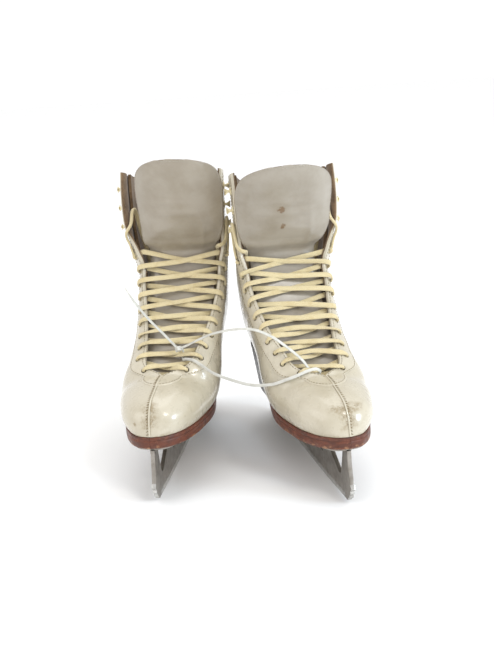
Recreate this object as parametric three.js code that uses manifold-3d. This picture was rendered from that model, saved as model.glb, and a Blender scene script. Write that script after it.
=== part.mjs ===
// A pair of lace-up figure skates, held together by a cable tie. Millimetres, +Z up.
// The skates stand on their blades with the toes towards -Y and the heels close together.
// One skate is described in its own frame: X lateral (towards the outer ankle), Y from the toe tip
// back to the heel, Z up from the ice. The other skate is its mirror image.
import * as THREE from "three";
import { mergeVertices } from "three/addons/utils/BufferGeometryUtils.js";
import Module from "manifold-3d";

const wasm = await Module();
wasm.setup();

// ---------- driving dimensions ----------
const GAP = 0.3; // clearance between pieces that touch on the real skate
const SEAM_HALF_GAP = 0.15; // half the clearance along the toe seam and the back seam
const UPPER_THICK = 3.2;
const LINING_THICK = 2.8;
const SOLE_BOTTOM = 54; // underside of the forefoot sole above the ice
const HEEL_MIDDLE = 228; // middle of the heel, from the toe tip
const HEEL_BOTTOM = 38; // underside of the heel block above the ice
const PLATE_THICK = 2.4;
const BLADE_THICK = 3.9;
const BLADE_END = 263; // rear tip of the runner
const EYELET_ROWS = 10;
const EYELET_PITCH = 14;
const EYELET_START = 7; // first eyelet, measured along the eyestay edge from the throat
const EYELET_INSET = 8; // from the eyestay edge to the eyelet centre
const EYELET_RADIUS = 2.9;
const HOOK_ROWS = 3;
const HOOK_PITCH = 17;
const HOOK_INSET = 8;
const HOOK_LIFT = 1.1; // of the lateral hooks, whose bases span the turned-out edge
const LACE_WIDTH = 3.2; // the lace drawn together into a round section
const LACE_CLEAR = 0.4;
const TONGUE_THICK = 5;
const HOOK_START = 30; // from the top eyelet to the lowest hook, along the front edge
const LINING_CLEAR = 0.9; // from the lining to the leather
const LINING_SETBACK = 15; // from the eyestay edge to the edge of the lining bag
const BACKSTAY_THICK = 1.4;
const HEEL_SEAT = 90; // height of the top of the sole under the heel
const HEEL_TAPER = 0.78; // the heel block's bottom outline against its top
const SOLE_MARGIN = 1.2; // how far the sole stands proud of the upper's feather edge
const FOREFOOT_SOLE_THICK = 11;
const WAIST_SOLE_THICK = 6;
const FOOTBED_THICK = 3;
const FOOTBED_INSET = 12; // from the upper's feather edge
const PLATE_SIDES = 18;
const SCREW_RADIUS = 1.8;
const SCREW_LENGTH = 12;
const SCREW_HEAD_RADIUS = 3.8;
const SCREW_HEAD_HEIGHT = 1.8;
const TOE_SCREWS = [[-17, 26], [17, 26], [-22, 84], [20, 84]];
const HEEL_SCREWS = [[-12, 212], [12, 212]];
const RUNNER_HEIGHT = 22;
const ROCKER_RADIUS = 2400;
const ROCKER_LOW = 150; // middle of the stretch that the skate stands on
const ROCKER_FLAT = 36; // length of that stretch, which is flat
const ROCKER_START = 14;
const ROCKER_STEPS = 5;
const TOE_PICKS = [[-2, 17], [1, 14.5], [0.5, 12], [3.5, 9.5], [4, 7], [7, 6], [8.5, 3.5], [12, 2.2]];
const TONGUE_TUCK = 9; // how far the tongue reaches under the eyestay
const FLAP_THICK = 4.5;
const FLAP_WRAP = 0.9; // how far round the shin the flap curves, in radians
// The free top of the tongue, leaning forwards, from its bend up: the middle of its front face, its
// half width and how far its edges curl back.
const FLAP_ROWS = [
  { x: -12, y: 150, z: 200, half: 31.5, curl: 4 },
  { x: -12, y: 141, z: 210.5, half: 36, curl: 6 },
  { x: -12.5, y: 130.5, z: 225, half: 42, curl: 9 },
  { x: -13.5, y: 120, z: 242, half: 45, curl: 13 },
  { x: -14.5, y: 112, z: 257, half: 46, curl: 15 },
  { x: -15.5, y: 104, z: 271, half: 44.5, curl: 15 },
  { x: -16.5, y: 99.5, z: 280, half: 39.5, curl: 12 },
  { x: -17, y: 96.5, z: 286, half: 30, curl: 7.5 },
  { x: -17.5, y: 95, z: 289.5, half: 16, curl: 2 },
];

const AGLET_RADIUS = 1.9;
const AGLET_LENGTH = 22;
// The free ends of the lace, from just past the top eyelets. The lateral one crosses the turned-out
// front edge and goes down inside the boot to the footbed; the medial one first goes round the lowest hook.
const TAIL_LATERAL = [
  [36.2, 150.6, 197.3], [37.5, 150.7, 202.7], [38.8, 150.2, 208], [40.5, 148.7, 213.2], [40.6, 146.6, 217.6],
  [39.2, 145.1, 221.2], [37, 145.3, 224.3], [35.5, 147.4, 227], [35, 150.2, 230], [35, 152.6, 233.6],
  [35, 154.9, 237], [34.7, 157.5, 239.4], [34.2, 160.5, 239.6], [33.7, 163.2, 237.6], [33.3, 165.6, 233.6],
  [32.8, 168.6, 225.5], [31.5, 172, 214], [29, 175, 200], [26.5, 176, 185], [25, 176.5, 168], [24.4, 176.5, 150],
  [24, 176, 132], [22.8, 174, 114], [20.5, 169.5, 99], [17.5, 162, 88.5], [16, 151, 82], [16, 138, 78.6],
  [17, 124, 76.2], [17, 110, 75], [14, 99, 74.4], [7, 95, 74.2], [1.5, 101, 74.4], [1.5, 113, 75.2],
  [3, 126, 76.6], [4, 140, 79], [4, 152, 82],
];
const TAIL_MEDIAL = [
  [-56.4, 151.8, 197.2], [-56.7, 155.4, 202.5], [-56.6, 159, 210], [-56.6, 161.2, 217.5], [-57, 161.8, 223.1],
  [-57.1, 160.2, 227.4], [-57.2, 157.4, 228.6], [-57.3, 154, 227.3], [-57.2, 152.3, 223], [-56.4, 150.9, 215.5],
  [-56, 147.5, 209.5], [-53.5, 143.4, 206.5], [-49.9, 143.8, 205], [-47.7, 148.5, 203.4], [-46.6, 153.8, 199.5],
  [-45.6, 157.5, 192.5], [-44.2, 160.5, 184], [-42.8, 163.4, 174], [-41, 166, 161], [-39, 168, 146],
  [-36.5, 169, 131], [-33.5, 168, 117], [-29.5, 165, 104.5], [-24, 159.5, 93.5], [-19, 151, 84.5],
  [-16.8, 140, 79.4], [-18, 126, 76.6], [-20, 113, 75.4], [-19.2, 103.5, 74.7], [-15, 97, 74.4],
  [-9.5, 97, 74.4], [-6, 103.5, 74.7], [-6, 112, 75.6], [-7, 122, 77.1],
];
const TIE_DIAMETER = 1.5;
const TIE_HEAD = [5, 5.4, 4.6];
const TIE_HEAD_CENTRE = [-61.3, 250.3, 123.6];
const TIE_HEAD_TURN = [-0.6, 0.1, 0.5]; // Euler angles of the head
// The tie, from the tip of its stiff tail through its head, under a lace of the left skate and back
// under a lace of the right one into the head. Part frame.
const TIE_ROUTE = [
  [-104, 240, 187.5], [-97, 240.5, 174], [-86, 243, 156.5], [-74, 246.5, 140.5], [-66, 249, 129.5],
  [-61.5, 249.5, 124.9], [-54, 247, 127], [-42, 241, 134], [-28, 232, 141.5], [-10, 222, 147], [8, 215, 148],
  [24, 211.5, 141.5], [37, 211.5, 131], [46, 211.5, 122.5], [51.5, 211, 116.5], [55, 210.6, 111],
  [58.8, 210, 106], [62.5, 208.2, 104.4], [65.7, 206, 105.4], [65.5, 203.6, 109], [61, 200.8, 111.8],
  [53.5, 198.3, 111], [45, 197.3, 108], [36, 199.5, 104.3], [22, 208, 97.5], [4, 218.5, 94.5], [-14, 226, 98],
  [-30, 232, 103.5], [-41, 237.5, 110.5], [-48, 241, 114.5], [-54, 245.5, 114.6], [-58, 250, 113.3],
  [-58.5, 254.5, 113.2], [-57.5, 257, 117], [-58, 256.5, 121], [-59.5, 253.5, 122.4], [-61, 251, 122.5],
];

const MEDIAL = -1;
const LATERAL = 1;

// Where each skate stands: toe-tip position on the floor and how far its toe turns out.
const SKATES = [
  { name: "right", mirror: -1, x: -89.5, y: 177.6, turn: 0.1555 },
  { name: "left", mirror: 1, x: 85.6, y: 147.2, turn: 0.2168 },
];
// Brings the origin under the middle of the whole pair.
const ORIGIN_SHIFT = new THREE.Vector3(3.73, -292.7, 0);

// Loft stations from the toe tip to the collar. Each is a section between a front point T (toe seam,
// then the middle of the eyestay opening) and a back point B (middle of the sole, then back seam), as
// [Y, Z] pairs. T lies at X = lean and B at X = 0. bend holds the two inner control points' places
// between B (0) and T (1). lateral and medial hold half widths: at the feather edge, the two inner
// control points, and the front edge.
const STATIONS = [
  {
    T: [1, 66], B: [1, 66], lean: 0, bend: [0.3, 1],
    lateral: [0, 0, 0, 0], medial: [0, 0, 0, 0],
  },
  {
    T: [2.2, 73], B: [2.6, 66], lean: 0, bend: [0.4, 1],
    lateral: [8.5, 10, 6, 0], medial: [9, 10, 6, 0],
  },
  {
    T: [4.6, 81], B: [7, 65.8], lean: 0, bend: [0.4, 1],
    lateral: [14.5, 18, 13, 0], medial: [16, 19, 13, 0],
  },
  {
    T: [9.5, 88.5], B: [15, 65.5], lean: 0, bend: [0.4, 1],
    lateral: [20.5, 26, 20, 0], medial: [23.5, 27, 20, 0],
  },
  {
    T: [18, 94], B: [27, 65.2], lean: 0, bend: [0.4, 1],
    lateral: [26, 34, 26, 0], medial: [30, 36, 26, 0],
  },
  {
    T: [30, 98.6], B: [42, 65], lean: -1, bend: [0.4, 1],
    lateral: [30.5, 40, 31, 0], medial: [35.5, 44, 32, 0],
  },
  {
    T: [44, 102.4], B: [58, 65], lean: -2, bend: [0.4, 1],
    lateral: [33.5, 46, 35, 0], medial: [39, 48, 36, 0],
  },
  {
    T: [57, 104.6], B: [76, 65], lean: -3.5, bend: [0.4, 1],
    lateral: [35, 50, 38, 0], medial: [42, 54, 39, 0],
  },
  {
    T: [68, 110.8], B: [98, 65.6], lean: -6, bend: [0.4, 0.98],
    lateral: [36, 54, 42, 19], medial: [42, 56, 44, 19],
  },
  {
    T: [88, 123.5], B: [127, 68], lean: -8.5, bend: [0.4, 0.97],
    lateral: [34, 51, 45, 24], medial: [38, 53, 47, 24],
  },
  {
    T: [107, 138.5], B: [160, 75], lean: -10.5, bend: [0.38, 0.96],
    lateral: [30, 45, 47, 29], medial: [31, 46, 48, 29],
  },
  {
    T: [123, 155.5], B: [196, 84], lean: -11.5, bend: [0.35, 0.95],
    lateral: [29.5, 41, 50, 33], medial: [29.5, 42, 50, 33],
  },
  {
    T: [134, 171], B: [226, 88.5], lean: -12, bend: [0.3, 0.93],
    lateral: [29, 38, 52, 36], medial: [29, 40, 51, 36],
  },
  {
    T: [139, 179], B: [246, 90], lean: -12, bend: [0.22, 0.92],
    lateral: [25, 36, 53, 36.5], medial: [25, 37, 52, 36.5],
  },
  {
    T: [142, 186], B: [257.5, 90.5], lean: -12, bend: [0.12, 0.9],
    lateral: [15, 35, 54, 37], medial: [15, 35, 53, 37],
  },
  {
    T: [144, 193], B: [262, 92], lean: -12, bend: [0.03, 0.88],
    lateral: [0, 34, 55, 39], medial: [0, 34, 53, 38.5],
  },
  {
    T: [146, 203], B: [264.5, 112], lean: -11.5, bend: [0, 0.85],
    lateral: [0, 35, 57, 43], medial: [0, 34, 52, 41.5],
  },
  {
    T: [149, 220], B: [256, 150], lean: -11, bend: [0, 0.82],
    lateral: [0, 34, 60, 46], medial: [0, 30, 50, 42.5],
  },
  {
    T: [152, 238], B: [248, 182], lean: -11, bend: [0, 0.8],
    lateral: [0, 34, 62, 48], medial: [0, 28, 49, 43],
  },
  {
    T: [155, 257], B: [246, 214], lean: -11, bend: [0, 0.8],
    lateral: [0, 34, 64, 48.5], medial: [0, 27, 50, 43],
  },
  {
    T: [159, 276], B: [249, 246], lean: -11, bend: [0, 0.8],
    lateral: [0, 35, 66, 48], medial: [0, 27, 51, 43],
  },
];
const HEEL_STATION = 15; // station at the back of the heel, where the feather edge ends
const THROAT = 7; // station where the toe seam ends and the eyestay opens
const COLLAR = STATIONS.length - 1;
const SIDE_COLUMNS = 6;
const FLARE = 7; // how far the lateral front edge turns outwards beside the tongue
const FLARE_START = 0.86; // place along the section where that turn begins
const FLARE_COLUMN = 0.93; // an extra column of points across that turn
const FLARE_STATIONS = [15.9, 17.4]; // stations between which it grows
const LINING_COLUMNS = 5;

// ---------- small helpers ----------
const lerp = (a, b, f) => a + (b - a) * f;
const range = (n) => [...Array(n).keys()];
const V = (x, y, z) => new THREE.Vector3(x, y, z);

// Catmull-Rom through equally spaced values.
function spline(values, s) {
  const last = values.length - 1;
  const i = Math.min(Math.max(Math.floor(s), 0), last - 1);
  const f = s - i;
  const at = (k) => values[Math.min(Math.max(k, 0), last)];
  const [a, b, c, d] = [at(i - 1), at(i), at(i + 1), at(i + 2)];
  return b + 0.5 * f * (c - a + f * (2 * a - 5 * b + 4 * c - d + f * (3 * (b - c) + d - a)));
}
const column = (pick) => STATIONS.map(pick);
const COLUMNS = {
  T: [0, 1].map((k) => column((row) => row.T[k])),
  B: [0, 1].map((k) => column((row) => row.B[k])),
  lean: column((row) => row.lean),
  bend: [0, 1].map((k) => column((row) => row.bend[k])),
  [LATERAL]: range(4).map((k) => column((row) => row.lateral[k])),
  [MEDIAL]: range(4).map((k) => column((row) => row.medial[k])),
};
const frontPoint = (s) => COLUMNS.T.map((c) => spline(c, s));
const backPoint = (s) => COLUMNS.B.map((c) => spline(c, s));
const sectionPlace = (s, t) => bezier([0, spline(COLUMNS.bend[0], s), spline(COLUMNS.bend[1], s), 1], t);
const midline = (s, t) => spline(COLUMNS.lean, s) * sectionPlace(s, t);
const bezier = (p, t) => {
  const q = 1 - t;
  return q * q * q * p[0] + 3 * q * q * t * p[1] + 3 * q * t * t * p[2] + t * t * t * p[3];
};

// A point of the boot's outer surface: s along the stations, t from the feather edge or back seam (0)
// to the toe seam or eyestay edge (1).
function outerPoint(side, s, t) {
  const [ty, tz] = frontPoint(s);
  const [by, bz] = backPoint(s);
  const along = sectionPlace(s, t);
  const half = bezier(COLUMNS[side].map((c) => Math.max(spline(c, s), 0)), t);
  const x = side * half + midline(s, t) + (side === LATERAL ? flare(s, t) : 0);
  return V(x, lerp(by, ty, along), lerp(bz, tz, along));
}
const flare = (s, t) =>
  FLARE * THREE.MathUtils.smoothstep(s, ...FLARE_STATIONS) * Math.max((t - FLARE_START) / (1 - FLARE_START), 0) ** 2;

// The inward normal, by central differences.
function inward(side, s, t) {
  const e = 0.02;
  const s0 = Math.max(s - e, 0.05);
  const s1 = Math.min(s + e, COLLAR);
  const ds = outerPoint(side, s1, t).sub(outerPoint(side, s0, t));
  const dt = outerPoint(side, s, Math.min(t + e, 1)).sub(outerPoint(side, s, Math.max(t - e, 0)));
  const n = ds.cross(dt).normalize();
  return n.multiplyScalar(-side);
}

// The boot surface moved inwards by depth (outwards when negative).
function skin(side, s, t, depth) {
  const point = outerPoint(side, s, t);
  if (s < 0.01) return point.add(V(0, depth, 0));
  return point.addScaledVector(inward(side, s, t), depth);
}

// ---------- solids ----------
function geometryOf(triangles) {
  const g = new THREE.BufferGeometry();
  g.setAttribute("position", new THREE.Float32BufferAttribute(triangles.flatMap((p) => p.toArray()), 3));
  return g;
}
function signedVolume(triangles) {
  let v = 0;
  for (let i = 0; i < triangles.length; i += 3)
    v += triangles[i].dot(triangles[i + 1].clone().cross(triangles[i + 2])) / 6;
  return v;
}
const same = (a, b) => a.distanceToSquared(b) < 1e-8;

// A closed solid between two grids of points with the same rows and columns. open(edge, row) says
// whether a rim is needed at that place; without one the two grid edges meet by themselves.
function sheetSolid(outer, inner, open = () => true) {
  const tris = [];
  const tri = (a, b, c) => {
    if (!same(a, b) && !same(b, c) && !same(a, c)) tris.push(a, b, c);
  };
  const quad = (a, b, c, d) => {
    tri(a, b, c);
    tri(a, c, d);
  };
  const rows = outer.length;
  const cols = outer[0].length;
  for (let i = 0; i < rows - 1; i++) {
    for (let j = 0; j < cols - 1; j++) {
      quad(outer[i][j], outer[i + 1][j], outer[i + 1][j + 1], outer[i][j + 1]);
      quad(inner[i][j], inner[i][j + 1], inner[i + 1][j + 1], inner[i + 1][j]);
    }
    if (open("first", i)) quad(outer[i][0], inner[i][0], inner[i + 1][0], outer[i + 1][0]);
    const k = cols - 1;
    if (open("last", i)) quad(outer[i][k], outer[i + 1][k], inner[i + 1][k], inner[i][k]);
  }
  for (let j = 0; j < cols - 1; j++) {
    quad(outer[0][j], outer[0][j + 1], inner[0][j + 1], inner[0][j]);
    const r = rows - 1;
    quad(outer[r][j], inner[r][j], inner[r][j + 1], outer[r][j + 1]);
  }
  if (signedVolume(tris) < 0)
    for (let i = 0; i < tris.length; i += 3) [tris[i + 1], tris[i + 2]] = [tris[i + 2], tris[i + 1]];
  return geometryOf(tris);
}

function toManifold(geometry) {
  const plain = geometry.index ? geometry.toNonIndexed() : geometry.clone();
  plain.deleteAttribute("normal");
  plain.deleteAttribute("uv");
  const merged = mergeVertices(plain, 1e-4);
  return new wasm.Manifold(
    new wasm.Mesh({
      numProp: 3,
      vertProperties: merged.attributes.position.array,
      triVerts: new Uint32Array(merged.index.array),
    }),
  );
}
function fromManifold(solid) {
  const mesh = solid.getMesh();
  const g = new THREE.BufferGeometry();
  g.setAttribute("position", new THREE.BufferAttribute(mesh.vertProperties, 3));
  g.setIndex(new THREE.BufferAttribute(mesh.triVerts, 1));
  return g;
}
const subtract = (body, tools) =>
  fromManifold(tools.reduce((left, tool) => left.subtract(toManifold(tool)), toManifold(body)));
const union = (bodies) => fromManifold(bodies.map(toManifold).reduce((a, b) => a.add(b)));

// A curve through a route's own points, with a section at each of them.
class Route extends THREE.Curve {
  constructor(points) {
    super();
    this.points = points;
  }
  getPoint(t, target = new THREE.Vector3()) {
    const s = t * (this.points.length - 1);
    return target.set(...["x", "y", "z"].map((axis) => spline(this.points.map((p) => p[axis]), s)));
  }
  getPointAt(u, target) {
    return this.getPoint(u, target);
  }
  getTangentAt(u, target) {
    return this.getTangent(u, target);
  }
  getSpacedPoints(divisions) {
    return this.getPoints(divisions);
  }
}

// A tube of a round section with flats, along a route. perPoint sections lie between two points.
function tube(points, diameter, sides = 8, perPoint = 1) {
  const section = new THREE.Shape(
    range(sides).map((k) => {
      const angle = ((k + 0.5) * 2 * Math.PI) / sides;
      return new THREE.Vector2(Math.cos(angle), Math.sin(angle)).multiplyScalar(diameter / 2);
    }),
  );
  const steps = (points.length - 1) * perPoint;
  return new THREE.ExtrudeGeometry(section, { steps, extrudePath: new Route(points), bevelEnabled: false });
}

// A plate with its outline in X and Y, from one height to another.
function plate(outline, bottom, top) {
  const shape = new THREE.Shape(outline.map(([x, y]) => new THREE.Vector2(x, y)));
  const settings = { depth: top - bottom, bevelEnabled: false };
  return new THREE.ExtrudeGeometry(shape, settings).translate(0, 0, bottom);
}

// A cylinder along a direction, centred on a point.
function rod(centre, direction, radius, length, sides) {
  const g = new THREE.CylinderGeometry(radius, radius, length, sides);
  const turn = new THREE.Quaternion().setFromUnitVectors(V(0, 1, 0), direction.clone().normalize());
  return g.applyQuaternion(turn).translate(centre.x, centre.y, centre.z);
}

// ---------- boot ----------
const stationList = range(STATIONS.length);
const columnList = range(SIDE_COLUMNS + 1).map((k) => k / SIDE_COLUMNS);
columnList.splice(-1, 0, FLARE_COLUMN);
const liningColumns = range(LINING_COLUMNS + 1).map((k) => k / LINING_COLUMNS);

function quarter(side) {
  const grid = (depth) =>
    stationList.map((s) =>
      columnList.map((t) => {
        const p = skin(side, s, t, depth);
        const middle = midline(s, t);
        p.x = middle + side * Math.max(side * (p.x - middle), SEAM_HALF_GAP);
        return p;
      }),
    );
  return sheetSolid(grid(0), grid(UPPER_THICK));
}

// The t that lies a given distance inside the front edge, measured along the section.
function insetT(side, s, distance) {
  const steps = 40;
  let last = outerPoint(side, s, 1);
  let walked = 0;
  for (let k = 1; k < steps; k++) {
    const t = 1 - (0.5 * k) / steps;
    const p = outerPoint(side, s, t);
    const step = p.distanceTo(last);
    if (walked + step >= distance) return t + (0.5 / steps) * (1 - (distance - walked) / step);
    walked += step;
    last = p;
  }
  return 0.5;
}

// The s that lies a given distance up the front line from the throat.
function stationAt(distance) {
  const step = 0.02;
  let walked = 0;
  let s = THROAT;
  while (walked < distance && s < COLLAR) {
    const [y0, z0] = frontPoint(s);
    const [y1, z1] = frontPoint(s + step);
    walked += Math.hypot(y1 - y0, z1 - z0);
    s += step;
  }
  return s;
}
const rowStation = (row) => stationAt(EYELET_START + row * EYELET_PITCH);
const TOP_EYELET = EYELET_START + (EYELET_ROWS - 1) * EYELET_PITCH;
const hookStation = (k) => stationAt(TOP_EYELET + HOOK_START + k * HOOK_PITCH);

// The point over an eyelet, at a height above (or below, when negative) the outer surface.
function overEyelet(side, row, height) {
  const s = rowStation(row);
  return skin(side, s, insetT(side, s, EYELET_INSET), -height);
}

function quarterWithEyelets(side) {
  const holes = range(EYELET_ROWS).map((row) => {
    const top = overEyelet(side, row, UPPER_THICK);
    const bottom = overEyelet(side, row, -2 * UPPER_THICK);
    const middle = top.clone().lerp(bottom, 0.5);
    return rod(middle, top.clone().sub(bottom), EYELET_RADIUS, top.distanceTo(bottom), 6);
  });
  return subtract(quarter(side), holes);
}

// How much of an inward step at the sole's edge points back from the toe (+) or forward from the heel (-).
const endTurn = (s) => Math.max(1 - s / 3, 0) - Math.max((s - HEEL_STATION + 3) / 3, 0);

// One bag that lines the boot from the insole up; its edge stays back from the eyelets.
function lining() {
  const outerDepth = UPPER_THICK + LINING_CLEAR;
  const closed = THROAT - 1; // the last station where both sides meet over the toes
  const endT = (side, s) => (s <= closed ? 1 : insetT(side, s, LINING_SETBACK));
  const grid = (depth, lift) =>
    stationList.map((s) => {
      const [by, bz] = backPoint(s);
      const onSole = s > 0 && s < HEEL_STATION;
      const endY = by + depth * endTurn(s);
      const half = (side) =>
        liningColumns.map((k) => {
          if (k === 0 && onSole) return V(featherHalf(side, s, -depth), endY, bz + GAP + lift);
          const p = skin(side, s, k * endT(side, s), depth);
          return s <= closed && k === 1 ? p.lerp(skin(-side, s, 1, depth), 0.5) : p;
        });
      const middle = onSole ? V(0, endY, bz + GAP + lift) : skin(LATERAL, s, 0, depth).setX(0);
      return [...half(MEDIAL).reverse(), middle, ...half(LATERAL)];
    });
  const inner = grid(outerDepth + LINING_THICK, LINING_THICK);
  return sheetSolid(grid(outerDepth, 0), inner, (edge, row) => row >= closed);
}

function backstay() {
  const rows = [HEEL_STATION + 0.5, ...stationList.slice(HEEL_STATION + 1)];
  const reach = columnList[1];
  const grid = (depth) =>
    rows.map((s) => [
      skin(MEDIAL, s, reach, depth),
      skin(LATERAL, s, 0, depth).setX(0),
      skin(LATERAL, s, reach, depth),
    ]);
  return sheetSolid(grid(-GAP - BACKSTAY_THICK), grid(-GAP));
}

// ---------- sole, heel and blade ----------
// Half width of the sole's feather edge at station s, with a margin that the sole stands proud.
const featherHalf = (side, s, margin) => {
  const half = Math.max(spline(COLUMNS[side][0], s), 0);
  return side * (half + (half > 0 ? margin : 0));
};
const soleRows = [0, 0.3, 0.6, 1, 1.5, 2, 3, 4, 5, 6, 7, 8, 9, 10, 10.8, 12, 13, 14, 14.6, 15];
const heelRows = soleRows.slice(-6);

// A solid between two surfaces that span the sole's outline over a list of stations. taper shrinks
// the lower one about the middle of the heel.
function soleSlice(rows, margin, topAt, bottomAt, taper = 1) {
  const grid = (heightAt, scale) =>
    rows.map((s, row) => {
      const [y, z] = backPoint(s);
      const end = row === 0 ? -margin : row === rows.length - 1 ? margin : 0;
      const point = (x) => V(x * scale, lerp(HEEL_MIDDLE, y + end, scale), heightAt(y, z));
      return [point(featherHalf(MEDIAL, s, margin)), point(0), point(featherHalf(LATERAL, s, margin))];
    });
  return sheetSolid(grid(topAt, 1), grid(bottomAt, taper));
}
const soleThickness = (y) =>
  lerp(FOREFOOT_SOLE_THICK, WAIST_SOLE_THICK, THREE.MathUtils.smoothstep(y, 100, 165));
const soleTop = (y, z) => Math.min(z, HEEL_SEAT) - GAP;
const soleUnder = (y, z) => Math.max(soleTop(y, z) - soleThickness(y), SOLE_BOTTOM);

function outsole() {
  return subtract(soleSlice(soleRows, SOLE_MARGIN, soleTop, soleUnder), screwHoles(TOE_SCREWS, SOLE_BOTTOM));
}
function heel() {
  const top = (y, z) => soleUnder(y, z) - GAP;
  const block = soleSlice(heelRows, SOLE_MARGIN - 0.5, top, () => HEEL_BOTTOM, HEEL_TAPER);
  return subtract(block, screwHoles(HEEL_SCREWS, HEEL_BOTTOM));
}

function footbed() {
  const rows = [2.4, 3, 4, 5, 6, 7, 8, 9, 10, 11, 12, 13, 13.3];
  const base = GAP + LINING_THICK + GAP;
  return soleSlice(rows, -FOOTBED_INSET, (y, z) => z + base + FOOTBED_THICK, (y, z) => z + base);
}

// An oval outline with its length along Y, wider at one end: half widths at both ends of the oval.
function ovalOutline(front, rear, halfFront, halfRear) {
  const across = (f) => lerp(halfFront, halfRear, f);
  return range(PLATE_SIDES).map((k) => {
    const angle = ((k + 0.5) / PLATE_SIDES) * 2 * Math.PI;
    const f = (1 - Math.cos(angle)) / 2;
    return [across(f) * Math.sign(Math.sin(angle)) * Math.abs(Math.sin(angle)) ** 0.6, lerp(front, rear, f)];
  });
}
const toePlateTop = SOLE_BOTTOM - GAP;
const heelPlateTop = HEEL_BOTTOM - GAP;
function mountingPlate(outline, top, screws) {
  return subtract(plate(outline, top - PLATE_THICK, top), screwHoles(screws, top));
}

const SCREW_AXIS = V(0, 0, 1);
function screwHoles(screws, face) {
  return screws.map(([x, y]) => rod(V(x, y, face), SCREW_AXIS, SCREW_RADIUS + 0.4, 2 * SCREW_LENGTH + 4, 6));
}
// A round-headed screw that comes up through the plate.
function screw([x, y], plateTop) {
  const under = plateTop - PLATE_THICK - GAP;
  const profile = [
    [0, -SCREW_HEAD_HEIGHT],
    [SCREW_HEAD_RADIUS * 0.7, -SCREW_HEAD_HEIGHT],
    [SCREW_HEAD_RADIUS, 0],
    [SCREW_RADIUS, 0],
    [SCREW_RADIUS, SCREW_LENGTH],
    [0, SCREW_LENGTH],
  ];
  const g = new THREE.LatheGeometry(profile.map(([r, h]) => new THREE.Vector2(r, h)), 6);
  return g.rotateX(Math.PI / 2).translate(x, y, under);
}

// The blade in side view: [Y, Z], from the front stanchion's top down round the runner.
function blade() {
  const top = toePlateTop - PLATE_THICK - GAP;
  const heelTop = heelPlateTop - PLATE_THICK - GAP;
  const shape = new THREE.Shape();
  shape.moveTo(6, top);
  shape.quadraticCurveTo(5, 30, -1, 19);
  for (const [y, z] of TOE_PICKS) shape.lineTo(y, z);
  for (const end of [ROCKER_START, BLADE_END - 6]) {
    const curved = Math.abs(end - ROCKER_LOW) - ROCKER_FLAT / 2;
    for (const k of range(ROCKER_STEPS + 1)) {
      const out = curved * (end < ROCKER_LOW ? 1 - k / ROCKER_STEPS : k / ROCKER_STEPS);
      const y = ROCKER_LOW + Math.sign(end - ROCKER_LOW) * (ROCKER_FLAT / 2 + out);
      shape.lineTo(y, out ** 2 / (2 * ROCKER_RADIUS));
    }
  }
  shape.lineTo(BLADE_END, 9);
  shape.lineTo(BLADE_END - 2, 17);
  shape.quadraticCurveTo(246, 24, 243, heelTop);
  shape.lineTo(213, heelTop);
  shape.quadraticCurveTo(206, 26, 190, RUNNER_HEIGHT);
  shape.lineTo(80, RUNNER_HEIGHT);
  shape.quadraticCurveTo(88, 34, 103, top);
  shape.closePath();
  const hole = new THREE.Path();
  hole.moveTo(19, top - 3);
  hole.quadraticCurveTo(23, 34, 26, 24);
  hole.quadraticCurveTo(29, 19, 36, 22);
  hole.lineTo(84, top - 3);
  hole.closePath();
  shape.holes.push(hole);
  const g = new THREE.ExtrudeGeometry(shape, { depth: BLADE_THICK, bevelEnabled: false, curveSegments: 5 });
  const toSide = new THREE.Matrix4().makeBasis(V(0, 1, 0), V(0, 0, 1), V(1, 0, 0));
  return g.translate(0, 0, -BLADE_THICK / 2).applyMatrix4(toSide);
}

// ---------- tongue ----------
const TONGUE_DEPTH = UPPER_THICK + LACE_WIDTH + 6 * LACE_CLEAR;
function tongueLower() {
  const rows = [6.8, 7.3, 8, 9, 10, 11, 12, 13, 14, 15];
  const grid = (depth) =>
    rows.map((s) => {
      const tuck = (side, k) => skin(side, s, insetT(side, s, TONGUE_TUCK * k), depth);
      const left = [1, 0.5, 0].map((k) => tuck(MEDIAL, k));
      const right = [0, 0.5, 1].map((k) => tuck(LATERAL, k));
      return [...left, left[2].clone().lerp(right[0], 0.5), ...right];
    });
  return sheetSolid(grid(TONGUE_DEPTH), grid(TONGUE_DEPTH + TONGUE_THICK));
}
function tongueFlap() {
  const across = range(9).map((k) => k / 4 - 1);
  const grid = (depth) =>
    FLAP_ROWS.map(({ y, z, x, half, curl }, row) => {
      const next = FLAP_ROWS[Math.min(row + 1, FLAP_ROWS.length - 1)];
      const before = FLAP_ROWS[Math.max(row - 1, 0)];
      const up = new THREE.Vector2(next.y - before.y, next.z - before.z).normalize();
      return across.map((k) =>
        V(
          x + half * Math.sin(k * FLAP_WRAP) / Math.sin(FLAP_WRAP),
          y + curl * k * k + depth * up.y,
          z - depth * up.x,
        ),
      );
    });
  return sheetSolid(grid(0), grid(FLAP_THICK));
}

// ---------- laces and hooks ----------
const LACE_OVER = LACE_WIDTH / 2 + LACE_CLEAR; // lace centre above the surface that it lies on
const LACE_UNDER = UPPER_THICK + LACE_OVER; // and where it runs under the eyestay
const LACE_BASE = LACE_UNDER + 1.3; // at the middle of the bar between the two lowest eyelets
const CROSSING_UPPER = 1; // heights of the two strands where they cross, from edge to edge
const CROSSING_LOWER = 4.8;

// The middle of the opening between two rows, at a depth below the eyestay edges.
function middleOf(row, depth) {
  const s = (rowStation(row) + rowStation(row + 1)) / 2;
  return skin(MEDIAL, s, 1, depth).lerp(skin(LATERAL, s, 1, depth), 0.5);
}
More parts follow.
